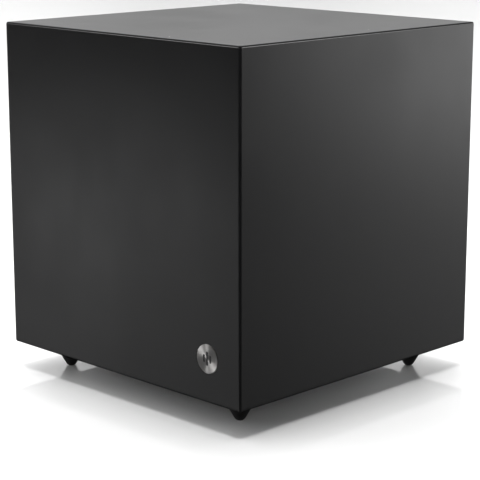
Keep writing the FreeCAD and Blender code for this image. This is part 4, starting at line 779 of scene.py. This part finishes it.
def damping_pads():
    """Three batts, in the two side pads' and the front pad's places within the CAD node's box."""
    low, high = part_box("wadding_pads")
    thick, gap = 18.0 * MM, 0.3 * MM
    side_low_y = CAB_MID.y - 115.0 * MM
    front_reach = 100.0 * MM
    spots = (
        ("left_pad", (low.x, side_low_y, low.z), (low.x + thick, high.y, high.z), 0, -1),
        ("right_pad", (high.x - thick, side_low_y, low.z), (high.x, high.y, high.z), 0, 1),
        ("front_pad", (-front_reach, low.y, low.z), (front_reach, low.y + thick, high.z), 1, -1),
    )
    for seed, (name, least, most, axis, side) in enumerate(spots):
        margin = Vector((gap, gap, gap))
        margin[axis] = 0.0
        damping_pad(name, Vector(least) + margin, Vector(most) - margin, axis, side, seed * 7.0)


# ---------------- marks on the amplifier plate

def print_ink():
    """Matt white ink, a little worn."""
    paint = Paint("print_ink", (0.62, 0.62, 0.60), 0.6)
    worn = paint.span(paint.noise(700.0, 4.0), 0.62, 0.75, 0.0, 0.6)
    paint.tint(worn, (0.25, 0.25, 0.25))
    paint.bump(paint.noise(1800.0), 0.00001, 0.4)
    paint.vary_roughness(paint.noise(300.0), 0.5, 0.75)
    return paint.material


def knob_inlays(ink):
    """A white line pressed into each knob's slot."""
    for node, body, name in (
        ("level_knob", "level_control", "level_line"),
        ("crossover_knob", "crossover_control", "crossover_line"),
    ):
        low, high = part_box(node)
        x, z = (low.x + high.x) / 2, (low.z + high.z) / 2
        tip = high.y
        corner_low = (x - 0.5 * MM, tip - 0.55 * MM, z + 3.2 * MM)
        corner_high = (x + 0.5 * MM, tip - 0.12 * MM, z + 9.6 * MM)
        mesh = mesh_of(lambda shape, a=corner_low, b=corner_high: add_block(shape, a, b, 0.12 * MM))
        finished(name, mesh, ink, body=body)


def add_stroke(shape, start, end):
    """A printed stroke on the plate's face, from and to places across it given as (x, z)."""
    start, end = Vector(start), Vector(end)
    along = (end - start).normalized()
    beside = Vector((-along.y, along.x)) * STROKE / 2
    corners = [start + beside, start - beside, end - beside, end + beside]
    depth = (PLATE_FACE - 0.03 * MM, PLATE_FACE + 0.05 * MM)
    near, far = [[shape.verts.new((c.x, y, c.y)) for c in corners] for y in depth]
    shape.faces.new(near)
    shape.faces.new(far)
    join_loops(shape, near, far)


def knob_scale(shape, node):
    """Eleven ticks round a knob, with longer ones at the ends and in the middle."""
    low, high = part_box(node)
    x, z, radius = (low.x + high.x) / 2, (low.z + high.z) / 2, (high.x - low.x) / 2
    gap, short, long = 2.2 * MM, 4.0 * MM, 5.2 * MM
    for n in range(11):
        angle = math.radians(-150 + 30 * n)
        reach = (radius + gap, radius + (long if n % 5 == 0 else short))
        ends = [(x + r * math.sin(angle), z + r * math.cos(angle)) for r in reach]
        add_stroke(shape, ends[0], ends[1])


def switch_marks(shape, node):
    """One bar and two bars over a slide switch's two positions, and a rule under it."""
    low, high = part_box(node)
    z = (low.z + high.z) / 2
    travel, pitch, half_rule = 2.0 * MM, 1.3 * MM, 6.0 * MM
    bar_low, bar_high, rule = z + 4.4 * MM, z + 7.0 * MM, z - 4.2 * MM
    middle_x = (low.x + high.x) / 2 + travel
    for x in (middle_x - travel, middle_x + travel - pitch / 2, middle_x + travel + pitch / 2):
        add_stroke(shape, (x, bar_low), (x, bar_high))
    add_stroke(shape, (middle_x - half_rule, rule), (middle_x + half_rule, rule))


def input_frame(shape):
    """A rectangle round the two line inputs."""
    low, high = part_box("input_sleeves")
    margin = 4.5 * MM
    left, right, bottom, top = low.x - margin, high.x + margin, low.z - margin, high.z + margin
    for z in (bottom, top):
        add_stroke(shape, (left, z), (right, z))
    for x in (left, right):
        add_stroke(shape, (x, bottom - STROKE / 2), (x, top + STROKE / 2))


def lamp_ring(shape):
    """A ring round the status lamp, of short strokes."""
    lamp = middle("status_lamp")
    reach, count = 4.0 * MM, 16
    angles = [2 * math.pi * n / count for n in range(count + 1)]
    points = [(lamp.x + reach * math.sin(angle), lamp.z + reach * math.cos(angle)) for angle in angles]
    for start, end in zip(points, points[1:]):
        add_stroke(shape, start, end)


def plate_print(ink):
    """Scales round the two knobs, marks by the switches, and rules between the groups."""
    plate_low, plate_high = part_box("amp_plate")
    rule_z = middle("level_knob").z - 23.0 * MM
    margin = 9.0 * MM

    def build(shape):
        for node in ("level_knob", "crossover_knob"):
            knob_scale(shape, node)
        for node in ("phase_slider", "auto_slider"):
            switch_marks(shape, node)
        add_stroke(shape, (plate_low.x + margin, rule_z), (plate_high.x - margin, rule_z))
        input_frame(shape)
        lamp_ring(shape)

    finished("plate_print", mesh_of(build), ink)


def rocker_marks(ink):
    """The line and the ring on the power rocker's two faces, on and off."""
    joint = next(j for j in frame["record"]["behaviour"]["joints"] if j["name"] == "power_rock")
    pivot = Vector(joint["pos_m"])
    valley, slope = 6.0 * MM, math.tan(math.radians(10.0))
    tilted = Matrix.Rotation(math.radians(-10.0), 3, "X")
    sunk, raised = -0.05 * MM, 0.06 * MM
    half, bar_low, bar_high = 0.35 * MM, 3.6 * MM, 6.8 * MM
    ring_up, outer, inner, count = -5.2 * MM, 1.7 * MM, 1.1 * MM, 28

    def place(x, up, proud):
        out = valley + slope * abs(up) + proud
        return pivot + tilted @ Vector((x, out, up))

    def bar(shape):
        corners = ((-half, bar_low), (half, bar_low), (half, bar_high), (-half, bar_high))
        loops = [[shape.verts.new(place(x, up, proud)) for x, up in corners] for proud in (sunk, raised)]
        shape.faces.new(loops[0])
        shape.faces.new(loops[1])
        join_loops(shape, loops[0], loops[1])

    def ring(shape):
        loops = []
        for n in range(count):
            angle = 2 * math.pi * n / count
            loop = []
            for radius, proud in ((outer, sunk), (outer, raised), (inner, raised), (inner, sunk)):
                x, up = radius * math.cos(angle), ring_up + radius * math.sin(angle)
                loop.append(shape.verts.new(place(x, up, proud)))
            loops.append(loop)
        for first, second in zip(loops, loops[1:] + loops[:1]):
            join_loops(shape, first, second)

    def build(shape):
        bar(shape)
        ring(shape)

    finished("rocker_marks", mesh_of(build), ink, body="power_switch")


# ---------------- electronics

def add_can(shape, x, z, front, back, radius):
    """A small capacitor that stands towards -Y from a board: rolled rim, waist and flat top."""
    waist, shoulder, axis = radius * 0.93, radius * 0.9, 0.02 * MM
    rim = [(axis, back), (radius, back), (radius, back - 0.8 * MM), (waist, back - 1.2 * MM)]
    rim += [(radius, back - 1.7 * MM), (radius, front + 0.5 * MM), (shoulder, front), (axis, front)]
    add_turned(shape, rim, facing_back(x, z), 24)


def add_resistor(shape, x, z, board, length, radius):
    """A part lying across a board, with swollen ends."""
    axis_y = board - radius - 0.4 * MM
    half, waist, end, axis = length / 2, radius * 0.82, radius * 0.5, 0.02 * MM
    rim = [(end, -half), (radius, -half + 0.4 * MM), (radius, -half * 0.6), (waist, -half * 0.5)]
    rim += [(waist, half * 0.5), (radius, half * 0.6), (radius, half - 0.4 * MM), (end, half)]
    rim += [(axis, half), (axis, -half)]
    add_turned(shape, rim, lambda r, a, h: (x + h, axis_y + r * math.cos(a), z + r * math.sin(a)), 16)


def add_chip(shape, x, z, width, depth, height, board):
    """A chip's body, with its corner nearest -X and -Z at x and z."""
    clear, rounding = 0.4 * MM, 0.4 * MM
    add_block(shape, (x, board - height, z), (x + width, board - clear, z + depth), rounding)


def add_legs(shape, x, z, depth, pitch, count, board):
    """Bent pins along a chip's two long edges, from the first one at x."""
    for n in range(count):
        at = x + pitch * n
        for side, edge in ((-1, z), (1, z + depth)):
            route = [(at, board - 1.6 * MM, edge - side * 0.1 * MM)]
            route += [(at, board - 1.5 * MM, edge + side * 0.9 * MM)]
            route += [(at, board, edge + side * 1.1 * MM)]
            add_tube(shape, route, 0.22 * MM, 6)


def board_parts():
    """Chips, capacitors and resistors on the inner side of each board, and a choke by the heat sink."""
    boards_low, boards_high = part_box("circuit_boards")
    control_face = boards_high.y - 1.6 * MM
    amp_face = boards_low.y
    control_chips = [((x - 5) * MM, (150 + 8 * (n % 2)) * MM) for n, x in enumerate((-58, -30, -2, 30))]
    amp_chips = [(x * MM, 150 * MM) for x in (-66, -42)]
    control_cans = ((-70, 128), (-56, 128), (-12, 128), (12, 132))
    control_cans += ((44, 160), (60, 166), (-16, 180), (16, 178))
    amp_cans = ((-70, 174), (-62, 174), (-54, 174), (-30, 130), (-30, 140))

    def chips(shape):
        for x, z in control_chips:
            add_chip(shape, x, z, 10 * MM, 6.5 * MM, 3.2 * MM, control_face)
        for x, z in amp_chips:
            add_chip(shape, x, z, 16 * MM, 8 * MM, 3.4 * MM, amp_face)

    def legs(shape):
        for x, z in control_chips:
            add_legs(shape, x + 0.8 * MM, z, 6.5 * MM, 1.4 * MM, 7, control_face)
        for x, z in amp_chips:
            add_legs(shape, x + 1.5 * MM, z, 8 * MM, 1.85 * MM, 8, amp_face)

    def cans(shape):
        for x, z in control_cans:
            add_can(shape, x * MM, z * MM, control_face - 7.5 * MM, control_face, 2.6 * MM)
        for x, z in amp_cans:
            add_can(shape, x * MM, z * MM, amp_face - 13.0 * MM, amp_face, 3.4 * MM)

    def resistors(shape):
        for row in range(3):
            for x in (-44, -22, 0, 22, 44):
                add_resistor(shape, x * MM, (170 + 4.2 * row) * MM, control_face, 6.2 * MM, 1.05 * MM)
        for row in range(6):
            add_resistor(shape, -40 * MM, (166 + 4.0 * row) * MM, amp_face, 7.0 * MM, 1.2 * MM)

    part("board_chips", mesh_of(chips), "inlet_plastic")
    part("chip_legs", mesh_of(legs), "zinc_steel")
    part("small_capacitors", mesh_of(cans), "can_sleeve")
    finished("resistors", mesh_of(resistors), finishes["resistor_lacquer"])
    choke(amp_face)


def choke(board):
    """A ring core wound with thick enamelled wire, lying on the amplifier board."""
    x, z = -48 * MM, 130 * MM
    ring, thick, wire = 9.0 * MM, 3.2 * MM, 0.45 * MM
    depth = board - thick - 1.2 * MM

    def core(shape):
        profile = arc((ring, 0.0), (thick * 0.8, thick * 0.8), 0, 360, 12)[:-1]
        add_turned(shape, [(r, depth + h) for r, h in profile], facing_back(x, z), 40)

    def winding(shape):
        turns, steps, wound = 22, 12, 0.9  # 0.9 of the way round the core
        girth = thick + wire * 0.3
        route = []
        for n in range(turns * steps + 1):
            along = 2 * math.pi * wound * n / (turns * steps)
            about = 2 * math.pi * n / steps
            radius = ring + girth * math.cos(about)
            level = depth + girth * math.sin(about)
            route.append((x + radius * math.cos(along), level, z + radius * math.sin(along)))
        add_tube(shape, route, wire, 6)

    part("choke_core", mesh_of(core), "ferrite")
    part("choke_winding", mesh_of(winding), "copper_wire")


surround()
spider()
tinsel_leads()
driver_glue()
damping_pads()
ink = print_ink()
knob_inlays(ink)
plate_print(ink)
rocker_marks(ink)
board_parts()


# ---------------- stage, lights and camera

# The photograph's angle: seen over the front right corner, from above.
VIEW_AZIMUTH = 45.0
VIEW_PITCH = 12.68
VIEW_LENS = 123.1
CORNER_DISTANCE = 4.261 * SIDE
VIEW_HEIGHT = 1.521 * SIDE

# Turn right of forward, rise, spread (degrees), and power
SOFT_BOXES = (
    (0, 90, 20, 2.5),
    (0, 45, 70, 2.8),
    (-90, 45, 70, 1.4),
    (0, 15, 50, 1.0),
    (180, 15, 50, 0.6),
    (0, 7, 14, 1.3),
    (45, 7, 14, 1.2),
)

ROOM_LEVEL = 0.12
# Turn right of forward, rise, inner and outer radius (degrees), and level added
SOFT_LIGHTS = (
    # Behind the subwoofer, mirrored in its top
    (0, 17, 8, 35, 0.2),
    (0, 60, 10, 60, 0.25),
    (0, 14, 0, 9, 0.4),
    (0, 20, 2, 11, 0.4),
    (0, 25, 6, 20, 0.6),
    (14, 6, 2, 12, 0.3),
    (-14, 6, 2, 12, 0.4),
    # To its right, mirrored in the side
    (78, 6, 0, 16, 0.4),
    (72, 4, 0, 26, 0.8),
    (81, -4, 0, 8, 1.6),
    (80, 0, 0, 12, 1.0),
    (82, -13, 0, 12, 0.4),
    # To its left, mirrored in the front
    (-85, -11, 0, 4, 0.8),
    (-84, -12, 0, 8, 0.6),
    (-90, -20, 0, 14, 0.3),
    # Two lamps mirrored in the badge, one mirrored in each upper edge, and one in the back
    (-56, 3, 2, 14, 5.0),
    (-107, -31, 2, 13, 4.0),
    (88, 17, 2, 11, 9.0),
    (-88, 17, 2, 11, 8.0),
    (41, 8, 3, 24, 1.0),
    # Dark panels
    (-88, -4, 0, 10, -0.12),
    (90, 30, 10, 50, -0.12),
    (-90, 30, 10, 50, -0.12),
    (0, -60, 20, 70, -0.12),
    (180, -12, 30, 75, -0.1),
)


def floor():
    """A glossy white studio floor."""
    bpy.ops.mesh.primitive_plane_add(size=60.0, location=(0, 0, 0))
    plane = bpy.context.object
    plane.name = "floor"
    paint = Paint("floor_white", (0.80, 0.80, 0.80), 0.04, IOR=1.5)
    # Its underside is clear, so that a view from below still shows the subwoofer.
    clear = paint.nodes.new("ShaderNodeBsdfTransparent").outputs[0]
    below = paint.nodes.new("ShaderNodeNewGeometry").outputs["Backfacing"]
    shown = paint.node("ShaderNodeMixShader", {0: below, 1: paint.shader.outputs[0], 2: clear})
    paint.links.new(shown.outputs[0], paint.nodes["Material Output"].inputs["Surface"])
    plane.data.materials.append(paint.material)
    plane.visible_glossy = False


def direction(turn, rise):
    """A direction by its turn to the right of the camera's forward direction and its rise, in degrees."""
    forward = math.radians(90 + VIEW_AZIMUTH)
    heading = forward - math.radians(turn)
    level = math.cos(math.radians(rise))
    return (level * math.cos(heading), level * math.sin(heading), math.sin(math.radians(rise)))


def studio():
    """A white surround to the camera. For everything else, soft bright and dark regions round the room."""
    world = bpy.data.worlds.new("studio")
    scene.world = world
    world.use_nodes = True
    world.cycles.sampling_method = "NONE"
    nodes, links = world.node_tree.nodes, world.node_tree.links
    nodes.clear()
    heading = nodes.new("ShaderNodeTexCoord").outputs["Generated"]

    def math_node(operation, first, second):
        made = nodes.new("ShaderNodeMath")
        made.operation = operation
        links.new(first, made.inputs[0])
        if isinstance(second, float):
            made.inputs[1].default_value = second
        else:
            links.new(second, made.inputs[1])
        return made.outputs[0]

    def soft_light(turn, rise, inner, outer, level):
        """level within the inner radius, fading to nothing at the outer one."""
        dot = nodes.new("ShaderNodeVectorMath")
        dot.operation = "DOT_PRODUCT"
        links.new(heading, dot.inputs[0])
        dot.inputs[1].default_value = direction(turn, rise)
        fade = nodes.new("ShaderNodeMapRange")
        fade.interpolation_type = "SMOOTHSTEP"
        links.new(dot.outputs["Value"], fade.inputs["Value"])
        fade.inputs["From Min"].default_value = math.cos(math.radians(outer))
        fade.inputs["From Max"].default_value = math.cos(math.radians(inner))
        fade.inputs["To Min"].default_value = 0.0
        fade.inputs["To Max"].default_value = level
        return fade.outputs["Result"]

    total = soft_light(*SOFT_LIGHTS[0])
    for light in SOFT_LIGHTS[1:]:
        total = math_node("ADD", total, soft_light(*light))
    total = math_node("ADD", total, ROOM_LEVEL)
    room = nodes.new("ShaderNodeBackground")
    links.new(math_node("MAXIMUM", total, 0.0), room.inputs["Strength"])
    white = nodes.new("ShaderNodeBackground")
    white.inputs["Color"].default_value = (1.0, 1.0, 1.0, 1.0)
    path = nodes.new("ShaderNodeLightPath")
    choose = nodes.new("ShaderNodeMixShader")
    links.new(path.outputs["Is Camera Ray"], choose.inputs[0])
    links.new(room.outputs[0], choose.inputs[1])
    links.new(white.outputs[0], choose.inputs[2])
    out = nodes.new("ShaderNodeOutputWorld")
    links.new(choose.outputs[0], out.inputs["Surface"])


def floor_lights():
    """Large soft boxes that light the floor and every matt surface, and are hidden from reflections."""
    for n, (turn, rise, spread, power) in enumerate(SOFT_BOXES):
        lamp = bpy.data.lights.new("soft_box_%d" % n, "SUN")
        lamp.energy = power
        lamp.angle = math.radians(spread)
        item = bpy.data.objects.new(lamp.name, lamp)
        item.rotation_euler = Vector(direction(turn, rise)).to_track_quat("Z", "Y").to_euler()
        item.visible_glossy = False
        scene.collection.objects.link(item)


def camera():
    data = bpy.data.cameras.new("camera")
    data.lens = VIEW_LENS
    item = bpy.data.objects.new("camera", data)
    heading = Vector((math.sin(math.radians(VIEW_AZIMUTH)), -math.cos(math.radians(VIEW_AZIMUTH)), 0))
    corner = Vector((CAB_HIGH.x, CAB_LOW.y, 0))
    item.location = corner + heading * CORNER_DISTANCE + Vector((0, 0, VIEW_HEIGHT))
    item.rotation_euler = (math.radians(90 - VIEW_PITCH), 0, math.radians(VIEW_AZIMUTH))
    scene.collection.objects.link(item)
    scene.camera = item


camera()
floor()
studio()
floor_lights()
scene.view_settings.view_transform = "Standard"
